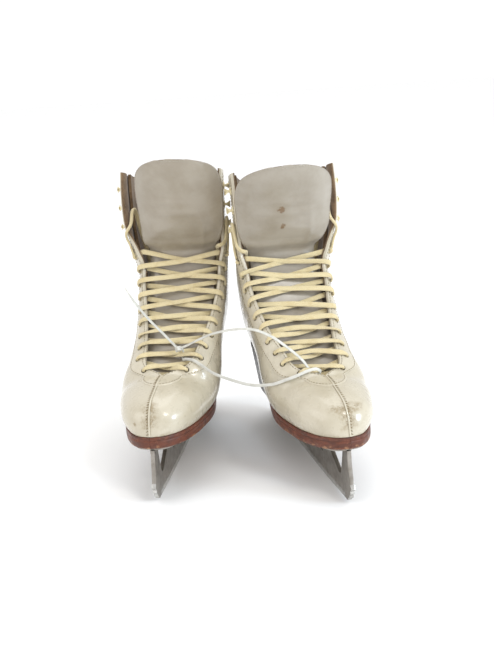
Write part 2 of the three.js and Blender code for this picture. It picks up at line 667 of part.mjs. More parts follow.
// From outside an eyelet over its edge, under the other edge and out of the next eyelet up.
function crossing(side, row, depth) {
  const [s0, s1] = [rowStation(row), rowStation(row + 1)];
  const under = skin(-side, s1, 1, LACE_UNDER + LACE_CLEAR);
  return [
    skin(side, s0, 1, -LACE_OVER - 2 * LACE_CLEAR),
    middleOf(row, depth),
    under,
    overEyelet(-side, row + 1, -LACE_UNDER),
    overEyelet(-side, row + 1, -UPPER_THICK / 2),
    overEyelet(-side, row + 1, LACE_OVER),
  ];
}
// One half of the lace, from inside its bottom eyelet up to outside its top one.
function strand(side) {
  const rows = range(EYELET_ROWS - 1);
  const start = [-LACE_UNDER, -UPPER_THICK / 2, LACE_OVER].map((height) => overEyelet(side, 0, height));
  return [
    ...start,
    ...rows.flatMap((row) => {
      const from = row % 2 ? -side : side;
      return crossing(from, row, from === LATERAL ? CROSSING_UPPER : CROSSING_LOWER);
    }),
  ];
}
// A point over the outer surface: inset from the front edge, height above the surface.
const onQuarter = (side, s, inset, height) => skin(side, s, insetT(side, s, inset), -height);
const topStation = rowStation(EYELET_ROWS - 1);
const laceEnd = (side, up) => onQuarter(side, topStation + up, EYELET_INSET, LACE_OVER);
function lacing() {
  const base = overEyelet(MEDIAL, 0, -LACE_BASE).lerp(overEyelet(LATERAL, 0, -LACE_BASE), 0.5);
  const lateralEnd = laceEnd(LATERAL, 0.25);
  const medialEnd = laceEnd(MEDIAL, 0.25);
  return [medialEnd, ...strand(LATERAL).reverse(), base, ...strand(MEDIAL), lateralEnd];
}

// A hook: a base on the leather, a neck that the lace goes round, and a head.
function hook(side, k) {
  const s = hookStation(k);
  const foot = GAP + (side === LATERAL ? HOOK_LIFT : 0);
  const at = (height) => onQuarter(side, s, HOOK_INSET, foot + height);
  const out = at(1).sub(at(0));
  const base = rod(at(0.4), out, 3.9, 0.8, 8);
  const neck = rod(at(2.6), out, 1.3, 4, 6);
  const head = rod(at(5.1), out, 3.6, 1.4, 8);
  return union([base, neck, head]);
}

const vectors = (points) => points.map((p) => V(...p));

// The sheath on the end of a lace, in line with its last stretch.
function aglet(points) {
  const end = V(...points.at(-1));
  const direction = end.clone().sub(V(...points.at(-2))).normalize();
  const centre = end.addScaledVector(direction, GAP + AGLET_LENGTH / 2);
  return rod(centre, direction, AGLET_RADIUS, AGLET_LENGTH, 8);
}

function cableTie() {
  const head = new THREE.BoxGeometry(...TIE_HEAD).rotateX(TIE_HEAD_TURN[0]).rotateY(TIE_HEAD_TURN[1]);
  head.rotateZ(TIE_HEAD_TURN[2]).translate(...TIE_HEAD_CENTRE);
  return union([tube(vectors(TIE_ROUTE), TIE_DIAMETER, 6), head]);
}

// ---------- assembly ----------
function addMesh(group, name, geometry, colour, roughness, metalness = 0) {
  const material = new THREE.MeshStandardMaterial({ color: colour, roughness, metalness });
  const mesh = new THREE.Mesh(geometry, material);
  mesh.name = name;
  group.add(mesh);
}
const WHITE_LEATHER = "#e6e1d6";
const STEEL = "#9b9a97";
const LACE_COLOUR = "#ddcfa6";
const PIECES = {
  upper_medial: [quarterWithEyelets(MEDIAL), WHITE_LEATHER, 0.3],
  upper_lateral: [quarterWithEyelets(LATERAL), WHITE_LEATHER, 0.3],
  lining: [lining(), "#8a7355", 0.9],
  backstay: [backstay(), WHITE_LEATHER, 0.3],
  outsole: [outsole(), "#6a3423", 0.5],
  heel: [heel(), "#191614", 0.4],
  footbed: [footbed(), "#b9a88a", 0.9],
  toe_plate: [mountingPlate(ovalOutline(7, 104, 24, 27), toePlateTop, TOE_SCREWS), STEEL, 0.35, 1],
  heel_plate: [mountingPlate(ovalOutline(200, 249, 19, 14), heelPlateTop, HEEL_SCREWS), STEEL, 0.35, 1],
  blade: [blade(), STEEL, 0.35, 1],
  tongue_lower: [tongueLower(), "#cfc9c4", 0.35],
  tongue_flap: [tongueFlap(), "#cfc9c4", 0.35],
  lacing: [tube(lacing(), LACE_WIDTH, 6), LACE_COLOUR, 0.9],
  lace_tail_lateral: [tube(vectors(TAIL_LATERAL), LACE_WIDTH, 8), LACE_COLOUR, 0.9],
  lace_tail_medial: [tube(vectors(TAIL_MEDIAL), LACE_WIDTH, 8), LACE_COLOUR, 0.9],
  aglet_lateral: [aglet(TAIL_LATERAL), "#e8dfc8", 0.3],
  aglet_medial: [aglet(TAIL_MEDIAL), "#e8dfc8", 0.3],
};
TOE_SCREWS.forEach((place, k) => {
  PIECES["toe_screw_" + (k + 1)] = [screw(place, toePlateTop), STEEL, 0.4, 1];
});
HEEL_SCREWS.forEach((place, k) => {
  PIECES["heel_screw_" + (k + 1)] = [screw(place, heelPlateTop), STEEL, 0.4, 1];
});
for (const k of range(HOOK_ROWS)) {
  PIECES["hook_medial_" + (k + 1)] = [hook(MEDIAL, k), "#e6dfc4", 0.4, 0.3];
  PIECES["hook_lateral_" + (k + 1)] = [hook(LATERAL, k), "#e6dfc4", 0.4, 0.3];
}

const skates = new THREE.Group();
skates.position.copy(ORIGIN_SHIFT);
for (const { name, mirror, x, y, turn } of SKATES) {
  const skate = new THREE.Group();
  skate.position.set(x, y, 0);
  skate.rotation.z = mirror * turn;
  skate.scale.x = mirror;
  for (const [piece, look] of Object.entries(PIECES)) addMesh(skate, name + "_" + piece, ...look);
  skates.add(skate);
}
addMesh(skates, "cable_tie", cableTie(), "#f0efec", 0.4);
export default skates;
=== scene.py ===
import math

import bmesh
import bpy
import numpy as np
from mathutils import Matrix, Vector


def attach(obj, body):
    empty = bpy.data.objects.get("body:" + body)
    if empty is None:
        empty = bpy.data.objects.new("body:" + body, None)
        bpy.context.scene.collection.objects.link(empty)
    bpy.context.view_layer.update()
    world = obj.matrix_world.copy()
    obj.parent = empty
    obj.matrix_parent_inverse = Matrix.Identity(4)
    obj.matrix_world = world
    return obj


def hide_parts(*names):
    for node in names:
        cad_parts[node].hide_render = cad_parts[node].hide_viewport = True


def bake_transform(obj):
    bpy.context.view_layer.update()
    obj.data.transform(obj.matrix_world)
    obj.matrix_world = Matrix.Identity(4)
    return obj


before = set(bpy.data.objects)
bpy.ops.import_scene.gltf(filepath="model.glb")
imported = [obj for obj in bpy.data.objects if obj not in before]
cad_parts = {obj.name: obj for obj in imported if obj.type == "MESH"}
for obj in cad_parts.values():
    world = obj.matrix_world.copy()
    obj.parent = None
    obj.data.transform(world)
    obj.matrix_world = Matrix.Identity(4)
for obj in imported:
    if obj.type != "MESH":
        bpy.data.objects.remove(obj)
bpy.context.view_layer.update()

MM = 0.001
MEDIAL, LATERAL = -1, 1
SIDES = ((MEDIAL, "medial"), (LATERAL, "lateral"))
rng = np.random.default_rng(11)

# ---------- driving dimensions ----------
# in the frame of one skate: millimetres, X lateral, Y back, Z up
GAP = 0.3
UPPER_THICK = 3.2
LINING_THICK = 2.8
LINING_CLEAR = 0.9
LINING_SETBACK = 15
SOLE_BOTTOM = 54
HEEL_MIDDLE = 228
HEEL_BOTTOM = 38
HEEL_SEAT = 90
PLATE_THICK = 2.4
BLADE_THICK = 3.9
BLADE_END = 263
ROCKER_RADIUS = 2400
ROCKER_MIDDLE, ROCKER_FLAT = 150, 18  # where its arcs meet, and half the flat between them
EYELET_ROWS = 10
EYELET_PITCH = 14
EYELET_START = 7
EYELET_INSET = 8
EYELET_RADIUS = 2.8
HOOK_START = 30
HOOK_PITCH = 17
HOOK_INSET = 8
HOOK_LIFT = 0.6  # of the lateral hooks, whose bases span the turned-out edge
LACE_OVER = 2.0
LACE_UNDER = UPPER_THICK + LACE_OVER
LACE_BASE = LACE_UNDER + 1.3
TONGUE_DEPTH = 8.8
TONGUE_TUCK = 9
TONGUE_HEM = 1.8
TONGUE_COLUMNS = 57
TONGUE_SEAM_FOOT = 203
TONGUE_TRIM = {"right": 4, "left": 0}
FLAP_WRAP = 0.9
FLARE = 7
FLARE_START = 0.86
FLARE_STATIONS = (15.9, 17.4)
FACING_RISE = 0.85
FACING_FROM, FACING_TO, FACING_TOP = 0.5, 18.95, 12.98  # distances from the edge, and the last place
HEEL_STATION = 15
HEEL_TAPER = 0.78
SOLE_MARGIN, HEEL_MARGIN, FOOTBED_MARGIN = 1.2, 0.7, -12
FOOTBED_THICK = 3
THROAT = 7
COLLAR = 20

# name: mirror, toe tip x and y, turn of the toe
SKATES = {"right": (-1, -89.5, 177.6, 0.1555), "left": (1, 85.6, 147.2, 0.2168)}
ORIGIN_SHIFT = np.array([3.73, -292.7, 0.0])
TONGUE_RISE = {"right": 4.5, "left": -3}

# front point (Y, Z), back point (Y, Z), lean, inner control places, lateral and medial half widths
STATIONS = [
    ((1, 66), (1, 66), 0, (0.3, 1), (0, 0, 0, 0), (0, 0, 0, 0)),
    ((2.2, 73), (2.6, 66), 0, (0.4, 1), (8.5, 10, 6, 0), (9, 10, 6, 0)),
    ((4.6, 81), (7, 65.8), 0, (0.4, 1), (14.5, 18, 13, 0), (16, 19, 13, 0)),
    ((9.5, 88.5), (15, 65.5), 0, (0.4, 1), (20.5, 26, 20, 0), (23.5, 27, 20, 0)),
    ((18, 94), (27, 65.2), 0, (0.4, 1), (26, 34, 26, 0), (30, 36, 26, 0)),
    ((30, 98.6), (42, 65), -1, (0.4, 1), (30.5, 40, 31, 0), (35.5, 44, 32, 0)),
    ((44, 102.4), (58, 65), -2, (0.4, 1), (33.5, 46, 35, 0), (39, 48, 36, 0)),
    ((57, 104.6), (76, 65), -3.5, (0.4, 1), (35, 50, 38, 0), (42, 54, 39, 0)),
    ((68, 110.8), (98, 65.6), -6, (0.4, 0.98), (36, 54, 42, 19), (42, 56, 44, 19)),
    ((88, 123.5), (127, 68), -8.5, (0.4, 0.97), (34, 51, 45, 24), (38, 53, 47, 24)),
    ((107, 138.5), (160, 75), -10.5, (0.38, 0.96), (30, 45, 47, 29), (31, 46, 48, 29)),
    ((123, 155.5), (196, 84), -11.5, (0.35, 0.95), (29.5, 41, 50, 33), (29.5, 42, 50, 33)),
    ((134, 171), (226, 88.5), -12, (0.3, 0.93), (29, 38, 52, 36), (29, 40, 51, 36)),
    ((139, 179), (246, 90), -12, (0.22, 0.92), (25, 36, 53, 36.5), (25, 37, 52, 36.5)),
    ((142, 186), (257.5, 90.5), -12, (0.12, 0.9), (15, 35, 54, 37), (15, 35, 53, 37)),
    ((144, 193), (262, 92), -12, (0.03, 0.88), (0, 34, 55, 39), (0, 34, 53, 38.5)),
    ((146, 203), (264.5, 112), -11.5, (0, 0.85), (0, 35, 57, 43), (0, 34, 52, 41.5)),
    ((149, 220), (256, 150), -11, (0, 0.82), (0, 34, 60, 46), (0, 30, 50, 42.5)),
    ((152, 238), (248, 182), -11, (0, 0.8), (0, 34, 62, 48), (0, 28, 49, 43)),
    ((155, 257), (246, 214), -11, (0, 0.8), (0, 34, 64, 48.5), (0, 27, 50, 43)),
    ((159, 276), (249, 246), -11, (0, 0.8), (0, 35, 66, 48), (0, 27, 51, 43)),
]
FRONT, BACK, LEAN, BEND, HALF_LATERAL, HALF_MEDIAL = (
    np.array([row[k] for row in STATIONS], float) for k in range(6)
)
HALF = {LATERAL: HALF_LATERAL, MEDIAL: HALF_MEDIAL}

# middle of the tongue's front face (x, y, z), half width and curl of its edges, from its bend up
FLAP_ROWS = [
    (-12, 150, 200, 32.5, 4),
    (-12, 140, 210.5, 39, 6),
    (-12.5, 130, 225, 44, 9),
    (-13.5, 120, 242, 45, 13),
    (-14.5, 112, 257, 46, 15),
    (-15.5, 104, 271, 44.5, 15),
    (-16.5, 99.5, 280, 39.5, 12),
    (-17, 96.5, 286, 30, 7.5),
    (-17.5, 95, 289.5, 16, 2),
    (-17.6, 94.6, 290.4, 5, 0.3),
]
# routes of the free lace ends and of the tie, as in part.mjs
TAIL_LATERAL = [
    [36.2, 150.6, 197.3], [37.5, 150.7, 202.7], [38.8, 150.2, 208], [40.5, 148.7, 213.2],
    [40.6, 146.6, 217.6], [39.2, 145.1, 221.2], [37, 145.3, 224.3], [35.5, 147.4, 227],
    [35, 150.2, 230], [35, 152.6, 233.6], [35, 154.9, 237], [34.7, 157.5, 239.4],
    [34.2, 160.5, 239.6], [33.7, 163.2, 237.6], [33.3, 165.6, 233.6], [32.8, 168.6, 225.5],
    [31.5, 172, 214], [29, 175, 200], [26.5, 176, 185], [25, 176.5, 168],
    [24.4, 176.5, 150], [24, 176, 132], [22.8, 174, 114], [20.5, 169.5, 99],
    [17.5, 162, 88.5], [16, 151, 82], [16, 138, 78.6], [17, 124, 76.2],
    [17, 110, 75], [14, 99, 74.4], [7, 95, 74.2], [1.5, 101, 74.4],
    [1.5, 113, 75.2], [3, 126, 76.6], [4, 140, 79], [4, 152, 82],
]
TAIL_MEDIAL = [
    [-56.4, 151.8, 197.2], [-56.7, 155.4, 202.5], [-56.6, 159, 210], [-56.6, 161.2, 217.5],
    [-57, 161.8, 223.1], [-57.1, 160.2, 227.4], [-57.2, 157.4, 228.6], [-57.3, 154, 227.3],
    [-57.2, 152.3, 223], [-56.4, 150.9, 215.5], [-56, 147.5, 209.5], [-53.5, 143.4, 206.5],
    [-49.9, 143.8, 205], [-47.7, 148.5, 203.4], [-46.6, 153.8, 199.5], [-45.6, 157.5, 192.5],
    [-44.2, 160.5, 184], [-42.8, 163.4, 174], [-41, 166, 161], [-39, 168, 146],
    [-36.5, 169, 131], [-33.5, 168, 117], [-29.5, 165, 104.5], [-24, 159.5, 93.5],
    [-19, 151, 84.5], [-16.8, 140, 79.4], [-18, 126, 76.6], [-20, 113, 75.4],
    [-19.2, 103.5, 74.7], [-15, 97, 74.4], [-9.5, 97, 74.4], [-6, 103.5, 74.7],
    [-6, 112, 75.6], [-7, 122, 77.1],
]
TIE_ROUTE = [
    [-104, 240, 187.5], [-97, 240.5, 174], [-86, 243, 156.5], [-74, 246.5, 140.5], [-66, 249, 129.5],
    [-61.5, 249.5, 124.9], [-54, 247, 127], [-42, 241, 134], [-28, 232, 141.5], [-10, 222, 147],
    [8, 215, 148], [24, 211.5, 141.5], [37, 211.5, 131], [46, 211.5, 122.5], [51.5, 211, 116.5],
    [55, 210.6, 111], [58.8, 210, 106], [62.5, 208.2, 104.4], [65.7, 206, 105.4], [65.5, 203.6, 109],
    [61, 200.8, 111.8], [53.5, 198.3, 111], [45, 197.3, 108], [36, 199.5, 104.3], [22, 208, 97.5],
    [4, 218.5, 94.5], [-14, 226, 98], [-30, 232, 103.5], [-41, 237.5, 110.5], [-48, 241, 114.5],
    [-54, 245.5, 114.6], [-58, 250, 113.3], [-58.5, 254.5, 113.2], [-57.5, 257, 117], [-58, 256.5, 121],
    [-59.5, 253.5, 122.4], [-61, 251, 122.5],
]
TIE_HEAD = (5, 5.4, 4.6)
TIE_HEAD_CENTRE = (-61.3, 250.3, 123.6)
TIE_HEAD_TURN = (-0.6, 0.1, 0.5)
TOE_SCREWS = [(-17, 26), (17, 26), (-22, 84), (20, 84)]
HEEL_SCREWS = [(-12, 212), (12, 212)]

def link(name, data):
    obj = bpy.data.objects.new(name, data)
    bpy.context.scene.collection.objects.link(obj)
    return obj


# ---------- camera ----------
CAMERA_DISTANCE = 0.9059
CAMERA_PITCH = 0.33389
CAMERA_ROLL = -0.0674
CAMERA_TARGET = Vector((0.00373, -0.1927, 0.14))
back = Vector((0, -math.cos(CAMERA_PITCH), math.sin(CAMERA_PITCH)))
level_right = Vector((1, 0, 0))
level_up = level_right.cross(-back)
right = level_right * math.cos(CAMERA_ROLL) + level_up * math.sin(CAMERA_ROLL)
up = level_up * math.cos(CAMERA_ROLL) - level_right * math.sin(CAMERA_ROLL)
camera = link("camera", bpy.data.cameras.new("camera"))
camera.data.lens = 62.06
camera.data.shift_y = 0.0778
columns = (right, up, back, CAMERA_TARGET + back * CAMERA_DISTANCE)
camera.matrix_world = Matrix([[column[k] for column in columns] for k in range(3)] + [[0, 0, 0, 1]])
bpy.context.scene.camera = camera


# ---------- the boot's surface ----------
def unit(v):
    return v / np.maximum(np.linalg.norm(v, axis=-1, keepdims=True), 1e-12)


def spline(values, s):
    """Catmull-Rom through equally spaced values."""
    values, s = np.asarray(values, float), np.asarray(s, float)
    last = len(values) - 1
    i = np.clip(np.floor(s).astype(int), 0, last - 1)
    f = (s - i).reshape(s.shape + (1,) * (values.ndim - 1))
    a, b, c, d = (values[np.clip(i + k, 0, last)] for k in (-1, 0, 1, 2))
    return b + 0.5 * f * (c - a + f * (2 * a - 5 * b + 4 * c - d + f * (3 * (b - c) + d - a)))


def bezier(p, t):
    q = 1 - t
    return q**3 * p[0] + 3 * q * q * t * p[1] + 3 * q * t * t * p[2] + t**3 * p[3]


def smoothstep(low, high, x):
    f = np.clip((np.asarray(x, float) - low) / (high - low), 0, 1)
    return f * f * (3 - 2 * f)


def hump(x, middle, reach):
    return np.exp(-(((x - middle) / reach) ** 2))


def rounded(distance, radius):
    """Height share of a rounded rim at a distance from its edge."""
    return np.sqrt(1 - (1 - np.clip(distance / radius, 0, 1)) ** 2)


def outer_point(side, s, t):
    s, t = np.broadcast_arrays(np.asarray(s, float), np.asarray(t, float))
    bend = spline(BEND, s)
    along = bezier([0 * s, bend[..., 0], bend[..., 1], 1 + 0 * s], t)
    half = bezier(np.moveaxis(np.maximum(spline(HALF[side], s), 0), -1, 0), t)
    front, rear = spline(FRONT, s), spline(BACK, s)
    x = side * half + spline(LEAN, s) * along
    if side == LATERAL:
        turn = np.clip((t - FLARE_START) / (1 - FLARE_START), 0, 1)
        x = x + FLARE * smoothstep(*FLARE_STATIONS, s) * turn**2
    return np.concatenate([x[..., None], rear + (front - rear) * along[..., None]], axis=-1)


def inward(side, s, t):
    s, t = np.broadcast_arrays(np.asarray(s, float), np.asarray(t, float))
    e = 0.02
    ds = outer_point(side, np.minimum(s + e, COLLAR), t) - outer_point(side, np.maximum(s - e, 0.05), t)
    dt = outer_point(side, s, np.minimum(t + e, 1)) - outer_point(side, s, np.maximum(t - e, 0))
    n = -side * unit(np.cross(ds, dt))
    return np.where((s < 0.01)[..., None], np.array([0.0, 1.0, 0.0]), n)


def skin(side, s, t, depth):
    """The boot's outer surface moved inwards by depth."""
    depth = np.asarray(depth, float)
    return outer_point(side, s, t) + inward(side, s, t) * depth[..., None]


def inset_t(side, s, distance):
    """t at distances inside the front edge, for each station: (n,) and (m,) or (n, m) give (n, m)."""
    s = np.atleast_1d(np.asarray(s, float))
    places = 1 - np.linspace(0, 0.5, 41)
    p = outer_point(side, s[:, None], places[None, :])
    walked = np.cumsum(np.linalg.norm(np.diff(p, axis=1), axis=-1), axis=1)
    walked = np.concatenate([np.zeros((len(s), 1)), walked], axis=1)
    distance = np.asarray(distance, float)
    distance = np.broadcast_to(distance, (len(s), distance.shape[-1]))
    return np.array([np.interp(d, w, places) for d, w in zip(distance, walked)])


WALK_STATIONS = THROAT + 0.02 * np.arange(651)
WALKED = np.concatenate(
    [[0], np.cumsum(np.linalg.norm(np.diff(spline(FRONT, WALK_STATIONS), axis=0), axis=-1))]
)


def station_at(distance):
    return WALK_STATIONS[np.searchsorted(WALKED, distance)]


def row_station(row):
    return station_at(EYELET_START + row * EYELET_PITCH)


def hook_station(k):
    return station_at(EYELET_START + (EYELET_ROWS - 1) * EYELET_PITCH + HOOK_START + k * HOOK_PITCH)


def on_quarter(side, s, inset, height):
    """A point over the outer surface, as an array of three."""
    return skin(side, s, inset_t(side, s, [inset])[0, 0], -height)


def over_eyelet(side, row, height):
    return on_quarter(side, row_station(row), EYELET_INSET, height)


def up_shaft(s):
    """Direction up the front line."""
    d = spline(FRONT, min(s + 0.05, COLLAR)) - spline(FRONT, max(s - 0.05, 0))
    return unit(np.array([0, d[0], d[1]]))


# ---------- meshes ----------
def to_world(skate, points):
    """Points of a skate's own frame, or of the pair's frame when skate is None, in metres."""
    p = np.asarray(points, float)
    if skate is None:
        return (p + ORIGIN_SHIFT) * MM
    mirror, x0, y0, turn = SKATES[skate]
    a, q = p[..., 0] * mirror, mirror * turn
    x = a * math.cos(q) - p[..., 1] * math.sin(q) + x0
    y = a * math.sin(q) + p[..., 1] * math.cos(q) + y0
    return (np.stack([x, y, p[..., 2]], axis=-1) + ORIGIN_SHIFT) * MM


def grid_faces(rows, cols, wrap=False, start=0):
    i, j = np.meshgrid(np.arange(rows - 1), np.arange(cols if wrap else cols - 1), indexing="ij")
    k = (j + 1) % cols
    quads = np.stack([i * cols + j, (i + 1) * cols + j, (i + 1) * cols + k, i * cols + k], axis=-1)
    return (quads.reshape(-1, 4) + start).tolist()


class Shape:
    """Vertices, faces and per-face materials gathered from several surfaces."""

    def __init__(self):
        self.verts, self.faces, self.slots, self.values, self.uvs = [], [], [], [], []
        self.count = 0

    def add(self, verts, faces, slot=0, value=None, uv=None):
        verts = np.asarray(verts, float).reshape(-1, 3)
        self.verts.append(verts)
        self.faces += [[v + self.count for v in face] for face in faces]
        self.slots += [slot] * len(faces)
        value = np.zeros(len(verts)) if value is None else np.asarray(value, float)
        self.values.append(value.reshape(-1))
        self.uvs += [(0.0, 0.0)] * sum(len(f) for f in faces) if uv is None else uv
        self.count += len(verts)
        return self

    def join(self, quads, slot=0):
        """Faces between vertices that are already there."""
        self.faces += quads
        self.slots += [slot] * len(quads)
        self.uvs += [(0.0, 0.0)] * 4 * len(quads)
        return self

    def join_borders(self, rows, cols):
        """Closes the rim between the first two grids, both of rows by cols."""
        border = [(i, 0) for i in range(rows)] + [(rows - 1, j) for j in range(1, cols)]
        border += [(i, cols - 1) for i in range(rows - 2, -1, -1)]
        border += [(0, j) for j in range(cols - 2, 0, -1)]
        flat = [i * cols + j for i, j in border]
        start = rows * cols
        return self.join([[a, b, start + b, start + a] for a, b in zip(flat, flat[1:] + flat[:1])])

    def tube(self, rings, v_of=None):
        rings = np.asarray(rings, float)
        n, m = rings.shape[:2]
        faces = grid_faces(n, m, wrap=True)
        v = np.zeros(n) if v_of is None else v_of
        uv = []
        for low, high in zip(v[:-1], v[1:]):
            for j in range(m):
                here, there = j / m, (j + 1) / m
                uv += [(here, low), (here, high), (there, high), (there, low)]
        caps = [list(range(m)), list(range((n - 1) * m, n * m))]
        uv += [(0.5, v[0])] * m + [(0.5, v[-1])] * m
        return self.add(rings, faces + caps, uv=uv)


def piece(skate, name, shape, materials, replaces=(), sharp=35, ride=True):
    """Makes an object. Its name, and those of the CAD nodes it replaces, follow the skate's name."""
    prefix = skate + "_" if skate else ""
    name = prefix + name
    verts = to_world(skate, np.concatenate(shape.verts))
    mesh = bpy.data.meshes.new(name)
    mesh.from_pydata(verts.tolist(), [], shape.faces)
    for m in materials:
        mesh.materials.append(m)
    mesh.polygons.foreach_set("material_index", shape.slots)
    layer = mesh.uv_layers.new(name="UVMap")
    layer.data.foreach_set("uv", np.array(shape.uvs, np.float32).reshape(-1))
    attribute = mesh.attributes.new("wear", "FLOAT", "POINT")
    attribute.data.foreach_set("value", np.concatenate(shape.values).astype(np.float32))
    bm = bmesh.new()
    bm.from_mesh(mesh)
    bmesh.ops.remove_doubles(bm, verts=bm.verts, dist=2e-6)
    bmesh.ops.dissolve_degenerate(bm, edges=bm.edges, dist=1e-7)
    bmesh.ops.recalc_face_normals(bm, faces=bm.faces)
    bm.to_mesh(mesh)
    bm.free()
    mesh.shade_smooth()
    mesh.set_sharp_from_angle(angle=math.radians(sharp))
    obj = link(name, mesh)
    if ride:
        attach(obj, "boots")
    if replaces:
        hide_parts(*(prefix + node for node in replaces))
    return obj


def cut(obj, cutter_shape, skate):
    """Cuts closed shapes out of a piece."""
    mesh = bpy.data.meshes.new("cutter")
    verts = to_world(skate, np.concatenate(cutter_shape.verts))
    mesh.from_pydata(verts.tolist(), [], cutter_shape.faces)
    bm = bmesh.new()
    bm.from_mesh(mesh)
    bmesh.ops.recalc_face_normals(bm, faces=bm.faces)
    bm.to_mesh(mesh)
    bm.free()
    cutter = link("cutter", mesh)
    modifier = obj.modifiers.new("cut", "BOOLEAN")
    modifier.object = cutter
    modifier.solver = "EXACT"
    modifier.material_mode = "INDEX"
    graph = bpy.context.evaluated_depsgraph_get()
    result = bpy.data.meshes.new_from_object(obj.evaluated_get(graph))
    obj.modifiers.clear()
    obj.data = result
    bpy.data.objects.remove(cutter)
    return obj


def densify(points, per):
    points = np.asarray(points, float)
    return spline(points, np.linspace(0, len(points) - 1, (len(points) - 1) * per + 1))


def lengths(path):
    return np.concatenate([[0], np.cumsum(np.linalg.norm(np.diff(path, axis=0), axis=-1))])


def carried(path, start):
    """A direction carried along a path without twisting."""
    tangent = unit(np.gradient(path, axis=0))
    out, w = [], np.asarray(start, float)
    for t in tangent:
        w = unit(w - t * (w @ t))
        out.append(w)
    return np.array(out)


def ribbon(path, width_way, half_width, half_thick, sides, power, twist=None):
    """Rings of a flat section along a path; width_way is the direction of its width at each point."""
    tangent = unit(np.gradient(path, axis=0))
    w = unit(width_way - tangent * np.sum(width_way * tangent, axis=-1, keepdims=True))
    n = np.cross(tangent, w)
    if twist is not None:
        c, s = np.cos(twist)[:, None], np.sin(twist)[:, None]
        w, n = w * c + n * s, n * c - w * s
    angles = (np.arange(sides) + 0.5) / sides * 2 * math.pi
    across = np.sign(np.cos(angles)) * np.abs(np.cos(angles)) ** (2 / power)
    through = np.sign(np.sin(angles)) * np.abs(np.sin(angles)) ** (2 / power)
    a = np.broadcast_to(half_width, len(path))[:, None, None]
    b = np.broadcast_to(half_thick, len(path))[:, None, None]
    across, through = across[None, :, None], through[None, :, None]
    return path[:, None] + w[:, None] * across * a + n[:, None] * through * b


def lathe(profile, centre, axis, sides):
    """Rings of a turned shape: profile holds (radius, height) along the axis."""
    axis = unit(np.asarray(axis, float))
    guess = np.array([1.0, 0, 0]) if abs(axis[0]) < 0.8 else np.array([0, 1.0, 0])
    u = unit(np.cross(axis, guess))
    v = np.cross(axis, u)
    angles = np.arange(sides) / sides * 2 * math.pi
    around = np.cos(angles)[:, None] * u + np.sin(angles)[:, None] * v
    return np.array([np.asarray(centre) + axis * h + around * max(r, 0.02) for r, h in profile])


def stitches(path, normals, pitch, length, radius, tilt=0.0, lift=0.0, shape=None):
    """Small thread capsules laid along a path, each tilted from it by an angle."""
    shape = shape or Shape()
    walked = lengths(path)
    for d in np.arange(pitch * 0.7, walked[-1] - pitch * 0.3, pitch):
        centre = np.array([np.interp(d, walked, path[:, k]) for k in range(3)])
        ahead = np.array([np.interp(d + 0.6, walked, path[:, k]) for k in range(3)])
        n = unit(np.array([np.interp(d, walked, normals[:, k]) for k in range(3)]))
        along = unit(ahead - centre)
        way = along * math.cos(tilt) + np.cross(n, along) * math.sin(tilt)
        steps = np.array([-1, -0.8, -0.3, 0.3, 0.8, 1]) * length / 2
        sink = np.array([0.6, 0.05, 0, 0, 0.05, 0.6]) * radius * 2
        spine = centre + way * steps[:, None] + n * (lift - sink)[:, None]
        size = radius * np.array([0.35, 0.85, 1, 1, 0.85, 0.35])
        shape.tube(ribbon(spine, np.tile(np.cross(way, n), (6, 1)), size, size, sides=6, power=2))
    return shape


# ---------- materials ----------
def rgb(code):
    parts = [int(code[k : k + 2], 16) / 255 for k in (1, 3, 5)]
    return tuple(p / 12.92 if p <= 0.04045 else ((p + 0.055) / 1.055) ** 2.4 for p in parts) + (1.0,)


